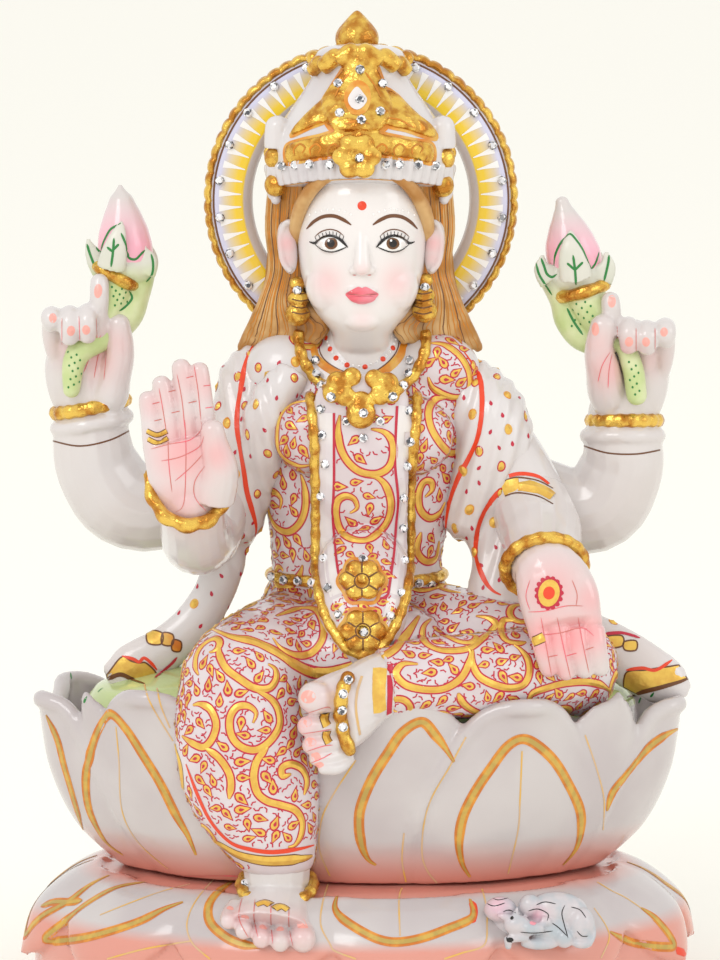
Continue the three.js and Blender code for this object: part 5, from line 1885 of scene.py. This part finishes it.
# ---- face, painted calm and even
faceLook = {
    # (x, v) about the middle line of the face
    "eye": [(4.9, 136.3), (6.6, 138.1), (9.2, 139), (11.8, 138.4), (13.9, 136.7), (11.6, 135.3), (9, 134.8), (6.5, 135.4)],
    "iris": (9.3, 137.1),
    "upperLid": [(4.2, 135.9), (5.3, 137.1), (6.8, 138.4), (9.2, 139.3), (11.9, 138.7), (13.9, 137.2), (15.6, 137.6)],
    "lowerLid": [(4.6, 136), (6.5, 135.2), (9, 134.6), (11.6, 135.1), (14, 136.8)],
    "crease": [(5.4, 139.3), (7.2, 140.7), (9.6, 141.3), (12.2, 140.6), (14.2, 139)],
    "brow": [(3.2, 142.6), (5.6, 144.2), (8.4, 145.3), (11.6, 145.1), (14.4, 143.6), (16.6, 141.4)],
    "upperLip": [(-4.9, 121.9), (-2.8, 123.2), (-1, 124), (0, 123.6), (1, 124), (2.8, 123.2), (4.9, 121.9), (2.4, 121.8),
                 (0, 121.5), (-2.4, 121.8)],
    "fullLip": [(-3.4, 120.6), (-1.6, 121), (0, 120.9), (1.8, 121), (4, 120.7), (2.6, 119.6), (0, 119.3), (-2.4, 119.6)],
    "lowerLip": [(-4.9, 121.8), (-2.4, 121.6), (0, 121.2), (2.4, 121.6), (4.9, 121.8), (3, 119.9), (0, 118.9), (-3, 119.9)],
    "bindi": (0, 148.4),
}


def paintFace():
    tree = surfaceOf(facePiece)
    for side in (-1, 1):
        fill("white", tree, front(faceLook["eye"], side), 0.07)
        (px, py), = front([faceLook["iris"]], side)
        mark("iris", tree, px, py, 4, 4, rise=0.22, sides=18)
        mark("kohl", tree, px, py, 2.3, 2.3, rise=0.32, sides=14)
        # a white dot on the pupil: a painted highlight
        mark("white", tree, px - 2, py - 2.4, 0.7, 0.7, rise=0.42)
        line("kohl", tree, front(faceLook["upperLid"], side), 0.95, 0.3, pointed=True)
        line("kohl", tree, front(faceLook["lowerLid"], side), 0.45, 0.24, pointed=True)
        line("brown", tree, front(faceLook["crease"], side), 0.35, 0.1, pointed=True)
        line("brown", tree, front(faceLook["brow"], side), 1.1, 0.1, pointed=True)
        for i in range(9):
            # lashes
            x = 5.8 + 0.95 * i
            lid = 139.4 - 0.11 * (x - 9.4) ** 2
            line("kohl", tree, front([(x, lid), (x + 0.12 * (i - 3), lid + 1.3)], side), 0.22, 0.15)
        for i in range(8):
            # the row of white dots over the brow
            x = 3.4 + 1.75 * i
            (px, py), = front([(x, 147.3 - 0.042 * (x - 9.4) ** 2)], side)
            mark("white", tree, px, py, 0.8, 0.8, crown=0.25, sides=8)
        (px, py), = front([(2.2, 127.6)], side)
        mark("skinLine", tree, px, py, 0.7, 1.2, rise=0.08)
    fill("lip", tree, front(faceLook["upperLip"]), 0.1)
    fill("lip", tree, front(faceLook["lowerLip"]), 0.32)
    fill("lip", tree, front(faceLook["fullLip"]), 0.36)
    line("skinLine", tree, front([(-5, 121.9), (-2.4, 121.8), (0, 121.4), (2.4, 121.8), (5, 121.9)]), 0.3, 0.14, pointed=True)
    (px, py), = front([faceLook["bindi"]])
    mark("orangeRed", tree, px, py, 2.8, 2.8, crown=0.25, sides=16)
    (leftX, y), (rightX, y), (noseX, noseY), (chinX, chinY) = front([(-10.5, 125.5), (10.5, 125.5), (0, 129), (0, 114)])
    blushAt(facePiece, [(leftX, y, 5.4, 0.42), (rightX, y, 5.4, 0.42), (noseX, noseY, 2.6, 0.25), (chinX, chinY, 3.4, 0.22)])


print("painting the face")
paintFace()

# ---- hands and feet: fine rose lines, nails, tints, rings
skinLines = {
    "blessing": (blessingPiece, [
        [(159, 388), (163, 410), (167, 436)], [(177, 374), (182, 400), (185, 430)], [(194, 365), (198, 390), (201, 420)],
        [(161, 461), (180, 457), (199, 447), (204, 436)], [(175, 481), (190, 468), (203, 454)],
        [(151, 449), (170, 444), (190, 440), (201, 430), (201, 421)], [(168, 438), (169, 465), (172, 492)],
        [(185, 420), (186, 456), (184, 502), (176, 512)], [(205, 466), (195, 481), (195, 497), (206, 511)],
        [(152, 404), (160, 402)], [(168, 392), (176, 390)], [(186, 378), (194, 376)], [(203, 386), (211, 385)],
        [(154, 421), (162, 419)], [(171, 413), (180, 411)], [(188, 403), (197, 401)], [(205, 408), (213, 407)],
    ]),
    "giving": (givingPiece, [
        [(541, 617), (545, 640), (552, 678)], [(557, 617), (563, 645), (571, 680)], [(578, 617), (582, 640), (589, 673)],
        [(541, 635), (560, 633), (582, 628), (594, 636)], [(528, 612), (545, 611), (566, 606), (583, 606)],
        [(530, 580), (526, 596), (530, 610)], [(572, 580), (577, 594), (576, 606)],
        [(548, 657), (558, 655)], [(566, 656), (577, 653)], [(585, 650), (594, 647)],
    ]),
    "rearLeft": (rearLeftPiece, [
        [(101, 335), (92, 352), (84, 372)], [(103, 337), (98, 356), (94, 378)], [(107, 338), (106, 358), (104, 380)],
        [(62, 318), (62, 345)], [(79, 316), (80, 343)], [(96, 318), (97, 340)],
    ]),
    "rearRight": (rearRightPiece, [
        [(610, 352), (602, 366), (598, 382)], [(612, 354), (609, 370), (608, 388)],
        [(636, 328), (636, 352)], [(655, 328), (655, 350)], [(617, 326), (618, 350)],
    ]),
    "standing": (standingPiece, [
        [(242, 898), (239, 918), (248, 937)], [(255, 899), (254, 918), (258, 937)], [(271, 903), (271, 923), (273, 944)],
        [(289, 908), (289, 926), (293, 946)],
    ]),
    "folded": (foldedPiece, [
        [(288, 713), (298, 715), (311, 712), (327, 707), (331, 709)], [(292, 735), (308, 733), (321, 731), (332, 729)],
        [(302, 753), (314, 749), (324, 746), (333, 745)], [(311, 763), (323, 758), (332, 753)],
    ]),
}
skinTints = {
    # (px, py, radius in mm, strength)
    "blessing": [(185, 452, 10, 0.8), (155, 405, 5, 0.45), (172, 394, 6, 0.4), (190, 378, 6, 0.45), (208, 385, 6, 0.45),
                 (216, 455, 6, 0.6), (180, 500, 9, 0.5)],
    "giving": [(550, 590, 11, 0.6), (548, 638, 8, 1), (570, 638, 8, 1), (588, 632, 7, 0.9), (556, 672, 6, 0.7),
               (590, 600, 7, 0.6)],
    "rearLeft": [(100, 355, 8, 0.6), (66, 350, 6, 0.3), (115, 345, 6, 0.35), (86, 345, 5, 0.4)],
    "rearRight": [(612, 368, 8, 0.6), (650, 360, 6, 0.3), (598, 345, 6, 0.35), (628, 352, 5, 0.4)],
    "standing": [(237, 918, 5, 0.4), (262, 930, 6, 0.45), (300, 930, 6, 0.4)],
    "folded": [(300, 722, 6, 0.5), (312, 745, 5, 0.45), (330, 700, 7, 0.25)],
}
nails = {
    # (px, py, length, width, turn)
    "rearLeft": [(53, 318, 3.2, 2.6, 0), (71, 331, 3.4, 2.8, 0), (86, 330, 3.2, 2.7, 0), (98, 291, 4.4, 2.7, 5)],
    "rearRight": [(629, 342, 3.4, 2.8, 0), (646, 342, 3.2, 2.6, 0), (664, 332, 3, 2.5, 0), (595, 329, 4.2, 2.8, -8), (612, 301, 4.2, 2.7, 5)],
    "standing": [(230, 908, 2.6, 2.2, 0), (245, 917, 2.8, 2.4, 0), (263, 927, 2.9, 2.5, 0), (280, 929, 2.9, 2.5, 0), (303, 925, 3.8, 3.6, 0)],
    "folded": [(307, 697, 5.6, 4.2, 90), (305, 722, 5.2, 3.6, 90), (310, 742, 4.4, 2.9, 90), (316, 757, 3.4, 2.8, 90),
               (319, 765, 3, 2.2, 90)],
}
rings = {
    # gilt bands over a finger or toe: places and width
    "blessing": [([(147, 431), (157, 435), (167, 431)], 1.2), ([(148, 439), (158, 443), (168, 438)], 1.2)],
    "giving": [([(526, 644), (535, 641), (544, 637)], 2.6)],
    "standing": [([(256, 905), (264, 902), (271, 905)], 2.6), ([(274, 909), (281, 906), (288, 910)], 2.4)],
    "folded": [([(325, 713), (324, 719), (327, 726)], 2.6), ([(327, 731), (326, 737), (329, 743)], 2.4)],
}


def paintSkin():
    for name, (piece, lines) in skinLines.items():
        tree = surfaceOf(piece)
        for pixels in lines:
            line("skinLine", tree, pixels, 0.28, 0.07, pointed=True)
        for px, py, long, wide, turn in nails.get(name, ()):
            mark("nail", tree, px, py, long, wide, turn, rise=0.09, crown=0.12, sides=14)
        for pixels, width in rings.get(name, ()):
            line("brown", tree, pixels, width + 0.5, 0.07)
            line("goldPaint", tree, pixels, width, 0.15, crown=0.35)
        blushAt(piece, skinTints[name])
    tree = surfaceOf(givingPiece)
    # the lotus mark in the open palm
    for colour, long, wide, rise in (("crimson", 9.6, 7.8, 0.1), ("goldPaint", 8.2, 6.4, 0.14), ("orangeRed", 3.9, 3.5, 0.18)):
        mark(colour, tree, 549, 593, long, wide, 12, rise=rise, sides=20)
    for i in range(15):
        angle = 2 * math.pi * i / 15
        mark("crimson", tree, 549 + 12.4 * math.cos(angle), 593 + 15 * math.sin(angle), 1.5, 1.5, 0, rise=0.09, sides=7)
    tree = surfaceOf(upperArmPiece, veilPiece, givingPiece, rearRightPiece)
    # armlet
    line("goldPaint", tree, [(503, 489), (516, 485), (528, 486), (540, 489), (553, 496)], 4.6, 0.2, crown=0.4)
    for offset in (-7.5, 8):
        line("brown", tree, [(505, 488 + offset), (516, 485 + offset), (528, 486 + offset), (540, 489 + offset), (553, 496 + offset)],
             0.5, 0.12)
    line("orangeRed", tree, [(509, 476), (517, 474), (527, 474), (539, 477), (549, 484)], 1.2, 0.14)
    tree = surfaceOf(rearLeftPiece)
    line("brown", tree, [(53, 441), (80, 446), (110, 440), (134, 428)], 0.5, 0.08)
    tree = surfaceOf(rearRightPiece)
    line("brown", tree, [(584, 446), (608, 453), (636, 454), (660, 450)], 0.5, 0.08)


print("painting hands and feet")
paintSkin()


# ---- hair, neck, crown, halo
neckBeads = [(326, 338), (330, 349), (336, 358), (347, 365), (365, 367), (383, 359), (393, 348), (397, 335)]
neckBands = [[(316, 329), (314, 349), (319, 361), (333, 371), (347, 376)], [(405, 329), (403, 349), (396, 361), (384, 371), (372, 376)]]


def paintHead():
    tree = surfaceOf(hairPiece)
    for side in (-1, 1):
        for i in range(2 * hair["locks"]):
            t = max(0, min(1, (i + rnd.uniform(-0.4, 0.4)) / (2 * hair["locks"] - 1)))
            places = [at(x, y - 0.5, v) for x, y, v, r in lockPath(side, t)]
            stroke("brown" if i % 5 == 0 else "goldDeep", tree, smoothLine(places, 1.2 * unit), 0.34, 0.08, pointed=True)
    for i in range(2 * hair["backLocks"]):
        across = -1 + 2 * i / (2 * hair["backLocks"] - 1)
        depth = math.sqrt(1 - 0.9 * across * across)
        places = [at(24 * across, 8 + 18 * depth, 155), at(27 * across, 9 + 18 * depth, 138), at(29 * across, 10 + 17 * depth, 122),
                  at(33 * across, 12 + 14 * depth, 108)]
        stroke("brown" if i % 4 == 0 else "goldDeep", tree, smoothLine(places, 1.2 * unit), 0.4, 0.08, pointed=True)
    # a painted shadow: the hair darkened behind the earrings, at each side of the head
    tintAndShade(hairPiece, "earringShadow", lambda p, n: 0.75 * math.exp(-((abs(p.x - 0.6) - 18) / 4) ** 2 - ((p.z - 213) / 9) ** 2))
    brim = [crownRim(-math.pi * i / 60, 155.4, 0.4) for i in range(2, 59)]
    stroke("ochre", crownTree, brim, 0.55, 0.1)
    tree = surfaceOf(torsoPiece, facePiece)
    for pixels in neckBands:
        line("ochre", tree, pixels, 2.6, 0.15, crown=0.2, pointed=True)
        line("brown", tree, [(px + (5 if px < 360 else -5), py - 2) for px, py in pixels], 0.4, 0.1, pointed=True)
    for (x1, y1), (x2, y2) in zip(neckBeads, neckBeads[1:] + [(399, 325)]):
        mark("orangeRed", tree, x1, y1, 1.7, 1.7, crown=0.3, sides=12)
        for share in (0.33, 0.67):
            mark("white", tree, x1 + (x2 - x1) * share, y1 + (y2 - y1) * share, 0.9, 0.9, crown=0.3, sides=8)
    # orange outlines round the gilding of the crown
    for name, (pixels, thick, dome) in crownPlates.items():
        middleX = sum(p[0] for p in pixels) / len(pixels)
        middleY = sum(p[1] for p in pixels) / len(pixels)
        wider = [(middleX + (px - middleX) * 1.045, middleY + (py - middleY) * 1.045) for px, py in pixels]
        stroke("ochre", crownTree, fromPhoto(crownTree, wider, 2, closed=True), 1.5, 0.1, closed=True)
    fill("ochre", headTree, [(357, 80), (347, 88), (344, 100), (349, 112), (357, 115), (366, 112), (371, 99), (368, 86)], 0.12)
    fill("plain", headTree, [(357, 87), (351, 93), (348, 100), (351, 107), (357, 110), (363, 107), (367, 100), (363, 93)], 0.25)
    for px in (300, 316, 334, 382, 400, 418):
        # chased curls on the band
        line("goldDeep", headTree, [(px - 5, 156), (px - 6, 149), (px, 144), (px + 5, 148), (px + 2, 153)], 0.6, 0.1, pointed=True)
    for points in ([(330, 124), (318, 122), (306, 128)], [(388, 118), (400, 120), (414, 128)], [(350, 72), (341, 84), (335, 97)],
                   [(365, 72), (375, 86), (381, 98)], [(345, 124), (357, 121), (370, 124)]):
        line("goldDeep", headTree, points, 0.6, 0.1, pointed=True)
    for px in (301, 423):
        for py in (292, 299, 306, 312):
            line("brown", surfaceOf(knobPiece), [(px - 9, py), (px, py + 2), (px + 9, py)], 0.4, 0.1)
    blushAt(earPiece, [(287, 244, 3.4, 0.6), (433, 244, 3.4, 0.6), (288, 258, 3, 0.4), (432, 258, 3, 0.4)])


def paintHalo():
    points, faces = pot("white")
    for i in range(halo["rays"]):
        # a white ray, broad outside
        middle = 2 * math.pi * (i + 0.5) / halo["rays"]
        start = len(points)
        for radius, half in ((36.7, 0.004), (39.4, 0.011), (43.5, 0.026)):
            for side in (-1, 1):
                points.append(haloPlace(radius, middle + side * half, -3.08))
        faces += [(start, start + 1, start + 3, start + 2), (start + 2, start + 3, start + 5, start + 4)]
    points, faces = pot("brown")
    start = len(points)
    for i in range(180):
        for radius in (44.8, 45.4):
            points.append(haloPlace(radius, 2 * math.pi * i / 180, -3.06))
    for i in range(180):
        a, b = start + 2 * i, start + 2 * ((i + 1) % 180)
        faces.append((a, a + 1, b + 1, b))
    centre = haloPlace(0, 0, 0) / unit

    def radiusOf(p):
        return math.hypot(p.x - centre.x, p.z - centre.z) if p.y < centre.y - 2.7 else 0

    tintAndShade(haloPiece, "lavender", lambda p, n: (radiusOf(p) - 41.6) / 2.2)
    tintAndShade(haloPiece, "yellow", lambda p, n: min(1, (43.4 - radiusOf(p)) / 5) if radiusOf(p) > 36 else 0)


def paintRosettes():
    tree = surfaceOf(necklacePiece)
    for px, py in ((362, 581), (363, 631)):
        rim = []
        for i in range(48):
            angle = 2 * math.pi * i / 48
            reach = 23 + 1.6 * math.cos(6 * (angle - math.radians(60)))
            rim.append((px + reach * math.cos(angle), py - reach * math.sin(angle)))
        stroke("ochre", clothTree, fromPhoto(clothTree, rim, 3, closed=True), 1.1, 0.14, closed=True)
        # brown lines between the petals and a brown ring round the hollow middle: painted shade in the gaps
        for i in range(6):
            angle = math.radians(30 + 60 * i)
            pixels = [(px + r * math.cos(angle), py - r * math.sin(angle)) for r in (8, 14, 20)]
            line("brown", tree, pixels, 0.5, 0.12, pointed=True)
        ringLine = [(px + 7.5 * math.cos(math.radians(a)), py - 7.5 * math.sin(math.radians(a))) for a in range(0, 360, 30)]
        stroke("brown", tree, fromPhoto(tree, ringLine, 2, closed=True), 0.4, 0.12, closed=True)


print("painting head and halo")
paintRosettes()
paintHead()
paintHalo()

# ---- buds, veil ends, calf
budLines = {
    "Left": [
        [(101, 250), (104, 241), (110, 230), (116, 226), (121, 223)], [(121, 233), (126, 245), (127, 252), (129, 258)],
        [(127, 256), (131, 259), (136, 259), (141, 254), (145, 250)], [(151, 254), (153, 263), (152, 274), (146, 282)],
        [(94, 239), (95, 245), (99, 251), (102, 252)], [(87, 244), (90, 254), (95, 267)], [(114, 238), (113, 252), (111, 267)],
        [(113, 250), (119, 244)], [(113, 252), (107, 247)], [(129, 291), (132, 298), (126, 306), (119, 311)],
    ],
    "Right": [
        [(554, 266), (555, 256), (559, 246), (564, 239), (570, 234), (577, 241), (583, 250), (587, 259), (591, 268)],
        [(541, 258), (544, 266), (547, 274), (552, 277), (557, 274)], [(591, 269), (595, 264), (598, 256), (599, 252)],
        [(536, 262), (539, 274), (545, 284), (552, 295)], [(609, 255), (608, 264), (604, 281)], [(573, 255), (575, 270), (576, 285)],
        [(575, 270), (583, 262)], [(575, 270), (567, 263)], [(567, 308), (574, 322), (583, 335)],
    ],
}
budDots = {
    "Left": (112, 128, 287, 309, 12), "Right": (571, 594, 300, 328, 14), "LeftStem": (68, 82, 352, 390, 14),
    "RightStem": (629, 640, 362, 398, 10),
}


def paintBuds():
    for bud, (stem, flower, cuff) in zip(buds, budPieces):
        name = bud["name"]
        tree = surfaceOf(stem, flower)
        for pixels in budLines[name]:
            line("darkGreen", tree, pixels, 0.75, 0.09, pointed=True)
        for key in (name, name + "Stem"):
            left, right, top, bottom, count = budDots[key]
            for i in range(count):
                px = left + (right - left) * ((i * 0.618) % 1)
                py = top + (bottom - top) * i / count
                mark("darkGreen", tree, px, py, 0.8, 0.7, sides=7)
        tintAndShade(stem, "pale", lambda p, n: min(0.75, (p.z - seatRim - bud["ring"][2] + 3) / 8))
        base, tip = bud["cup"][2] + seatRim, bud["tip"][2] + seatRim
        tintAndShade(flower, "blush", lambda p, n: 1.25 - 1.5 * (p.z - base) / (tip - base))


veilEnds = {
    # painted shapes at the ends of the veil: (colour, outline)
    "leftBand": ("goldPaint", [(106, 678), (110, 671), (122, 657), (131, 661), (139, 663), (146, 663), (156, 674), (145, 682),
                               (133, 678), (120, 673)]),
    "leftCheck": ("goldPaint", [(148, 631), (162, 633), (161, 644), (148, 643)]),
    "leftCheckOrange": ("ochre", [(163, 633), (173, 635), (172, 645), (162, 644)]),
    "leftCheckDark": ("burnt", [(173, 640), (181, 642), (180, 651), (172, 650)]),
    "rightBand": ("goldPaint", [(626, 673), (646, 670), (666, 667), (689, 665), (689, 677), (664, 685), (644, 690), (626, 695)]),
    "rightCheck": ("goldPaint", [(606, 637), (622, 636), (622, 646), (607, 647)]),
    "rightCheckLow": ("goldPaint", [(624, 642), (636, 641), (636, 650), (625, 650)]),
}
veilEndLines = {
    "orangeRed": [[(122, 656), (133, 659), (139, 662), (144, 658), (151, 663), (157, 670)], [(626, 670), (642, 668), (656, 670), (672, 660)]],
    "crimson": [[(155, 678), (163, 671), (172, 663), (177, 657)], [(604, 634), (622, 633), (640, 638)]],
    "brown": [[(108, 680), (120, 675), (133, 680), (145, 684)], [(627, 697), (645, 692), (664, 687), (688, 679)]],
}
calfLines = [
    [(565, 905), (562, 912), (563, 920), (568, 938)], [(571, 907), (580, 910), (586, 918)], [(552, 923), (559, 928), (567, 936)],
    [(503, 912), (509, 910), (516, 913)], [(528, 911), (538, 909), (548, 914), (547, 921)], [(536, 905), (545, 902), (556, 904)],
    [(520, 932), (535, 933), (553, 931)], [(508, 934), (507, 940), (514, 943)], [(577, 931), (582, 936), (588, 936)],
    [(486, 903), (494, 906), (505, 903)], [(490, 897), (498, 900), (508, 898)],
]


def paintRest():
    for colour, outline in veilEnds.values():
        stroke("brown", veilTree, fromPhoto(veilTree, outline, 2, closed=True), 0.5, 0.15, closed=True)
        fill(colour, veilTree, outline, 0.12)
    tree = surfaceOf(veilPiece, seatPiece)
    for colour, lines in veilEndLines.items():
        for pixels in lines:
            line(colour, tree, pixels, 1.0, 0.16, pointed=True)
    for px, py, long in ((71, 676, 3), (85, 700, 2.4), (100, 690, 2), (640, 700, 2.4), (652, 695, 2)):
        mark("darkGreen", tree, px, py, long, 0.8, 30, tail=0.5)
    tree = surfaceOf(skirtPiece, foldedPiece)
    line("goldPaint", tree, [(380, 668), (379, 690), (380, 712)], 4.2, 0.15, crown=0.3)
    line("crimson", tree, [(390, 664), (390, 690), (389, 714)], 1.8, 0.12)
    line("tan", tree, [(362, 676), (357, 693), (356, 711), (360, 735)], 0.8, 0.1)
    tree = surfaceOf(calfPiece)
    for pixels in calfLines:
        line("kohl", tree, pixels, 0.3, 0.08, pointed=True)
    mark("kohl", tree, 512, 918, 1.3, 1.1, sides=10)
    mark("pink", tree, 533, 923, 1.8, 2.4, sides=10)
    mark("kohl", tree, 510, 940, 1.6, 2.2, sides=10)
    blushAt(calfPiece, [(497, 905, 4, 0.6), (538, 915, 2.6, 0.6)])


print("painting buds, veil ends and calf")
paintBuds()
paintRest()

# ---- glass stones
glass = {
    "sides": 8,
    "radius": 1.5,
    # further stones of the picture: sash, belt and anklets
    "more": [(321, 409), (322, 435), (325, 464), (321, 496), (324, 558), (328, 588), (408, 411), (411, 442), (408, 466), (403, 498),
             (403, 528), (404, 560), (401, 593), (338, 615), (390, 616), (272, 577), (284, 580), (298, 581), (312, 583), (419, 583),
             (431, 584), (245, 884), (256, 889), (272, 891), (290, 890), (304, 887), (348, 680), (343, 694), (342, 710), (343, 727)],
}


def addStone(points, faces, place, normal, radius):
    # a cut stone: a flat table ringed by facets, seated in the gilding
    turn = normal.to_track_quat("Z", "Y")
    start, sides = len(points), glass["sides"]
    for share, rise, shift in ((0.9, -0.5, 0), (1, 0.25, 0), (0.78, 0.62, 0.5), (0.46, 0.85, 0)):
        for i in range(sides):
            angle = 2 * math.pi * (i + shift) / sides
            local = Vector((math.cos(angle) * share, math.sin(angle) * share, rise * 0.8))
            points.append(place + (turn @ local) * radius * unit)
    for r in range(3):
        for i in range(sides):
            a, b = start + r * sides + i, start + r * sides + (i + 1) % sides
            if r == 0:
                faces.append((a, b, b + sides, a + sides))
            else:
                faces += [(a, b, a + sides), (b, b + sides, a + sides)]
    faces.append(tuple(start + 3 * sides + i for i in range(sides)))
    faces.append(tuple(start + sides - 1 - i for i in range(sides)))


def buildStones():
    haloTree = surfaceOf(haloPiece, haloRim)
    tree = surfaceOf(crownPiece, crownGoldPiece, knobPiece, earPiece, hairPiece, torsoPiece, sashPiece,
                     necklacePiece, banglePiece, skirtPiece)
    stones = [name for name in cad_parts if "stone" in name]
    spots = []
    for name in stones:
        low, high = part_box(name)
        spots.append((haloTree if name.startswith("halo") else tree, *photoPlace((Vector(low) + Vector(high)) / 2)))
    points, faces = [], []
    for carrier, px, py in spots + [(tree, *place) for place in glass["more"]]:
        place = seen(carrier, px, py)
        if place is None:
            continue
        found, normal = lay(carrier, place)
        normal = (normal - camTurn @ Vector((0, 0, -0.6))).normalized()
        addStone(points, faces, found + normal * 0.25 * unit, normal, glass["radius"])
    obj = meshFrom("glassStones", points, faces)
    # painted glints: each facet takes a chance share of bright colour, standing in for light sparkling in the cut glass
    layer = obj.data.attributes.new("facet", "FLOAT", "FACE")
    layer.data.foreach_set("value", [rnd.choice((0.05, 0.3, 0.75, 0.95, 1.0)) for face in obj.data.polygons])
    return obj, stones


print("glass stones")
stonePiece, stoneNodes = buildStones()
# dark glass whose facets are painted bright as glints
finishes["glass"] = finish("cutGlass", "facetDark", "facetDark", 80, 0.06, 0.35, coat=0.6, tintsAndPaintedLight={"facet": "facetGlint"})


# ---- which finish each carved piece has
# hands, arms, feet and ears take the skin tone darkened as painted shade
for piece in [blessingPiece, givingPiece, rearLeftPiece, rearRightPiece, standingPiece, foldedPiece, earPiece, upperArmPiece]:
    keep(piece, finishes["skin"])
keep(facePiece, finishes["face"])
for piece in [torsoPiece, sashPiece, skirtPiece]:
    keep(piece, finishes["cloth"])
keep(veilPiece, finishes["veil"])
keep(crownPiece, finishes["marble"])
keep(haloPiece, finishes["halo"])
keep(calfPiece, finishes["calf"])
keep(stonePiece, finishes["glass"])
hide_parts(*stoneNodes)
# the lotus throne, in marble darkened as painted shade
for piece in [seatPiece, basePiece]:
    keep(piece, finishes["petal"])
keep(hairPiece, finishes["hair"])
keep(haloRim, finishes["goldLeaf"])
keep(finialPiece, finishes["goldLeaf"])
for stem, flower, cuff in budPieces:
    keep(stem, finishes["green"])
    keep(flower, finishes["bud"])
    keep(cuff, finishes["goldLeaf"])
for piece in [necklacePiece, banglePiece, crownGoldPiece, knobPiece]:
    keep(piece, finishes["goldLeaf"])
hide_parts("marble_carving")
for name in pots:
    points, faces = pots[name]
    keep(meshFrom(name + "Strokes", points, faces), finishes[name])

# ---- floor, daylight and soft lamps
studio = {
    "floorSize": 12,
    "skyStrength": 1.0,
    "lamps": [
        # place in metres, size, watts; the last only lifts the shade and shows in no reflection
        ((-1.0, -1.5, 1.6), 0.9, 11),
        ((1.5, -0.8, 0.9), 0.8, 3),
        ((0.1, -2.2, 0.35), 0.9, 4),
    ],
}


def addStudio():
    dropAll()
    bpy.ops.mesh.primitive_plane_add(size=studio["floorSize"], location=(0, 3, 0))
    floor = bpy.context.object
    floor.name = "floor"
    floor.data.materials.append(finish("floorPaper", "floor", "floor", 10, 0.9))
    world = bpy.context.scene.world or bpy.data.worlds.new("daylight")
    bpy.context.scene.world = world
    world.use_nodes = True
    world.node_tree.nodes["Background"].inputs["Color"].default_value = (1, 0.99, 0.965, 1)
    world.node_tree.nodes["Background"].inputs["Strength"].default_value = studio["skyStrength"]
    for place, size, watts in studio["lamps"]:
        bpy.ops.object.light_add(type="AREA", location=place)
        lamp = bpy.context.object
        lamp.data.size = size
        lamp.data.energy = watts
        lamp.visible_glossy = place[0] != 0.1
        lamp.rotation_euler = (Vector((0, 0, 0.15)) - lamp.location).to_track_quat("-Z", "Y").to_euler()


addStudio()
bpy.context.scene.view_settings.view_transform = "Standard"
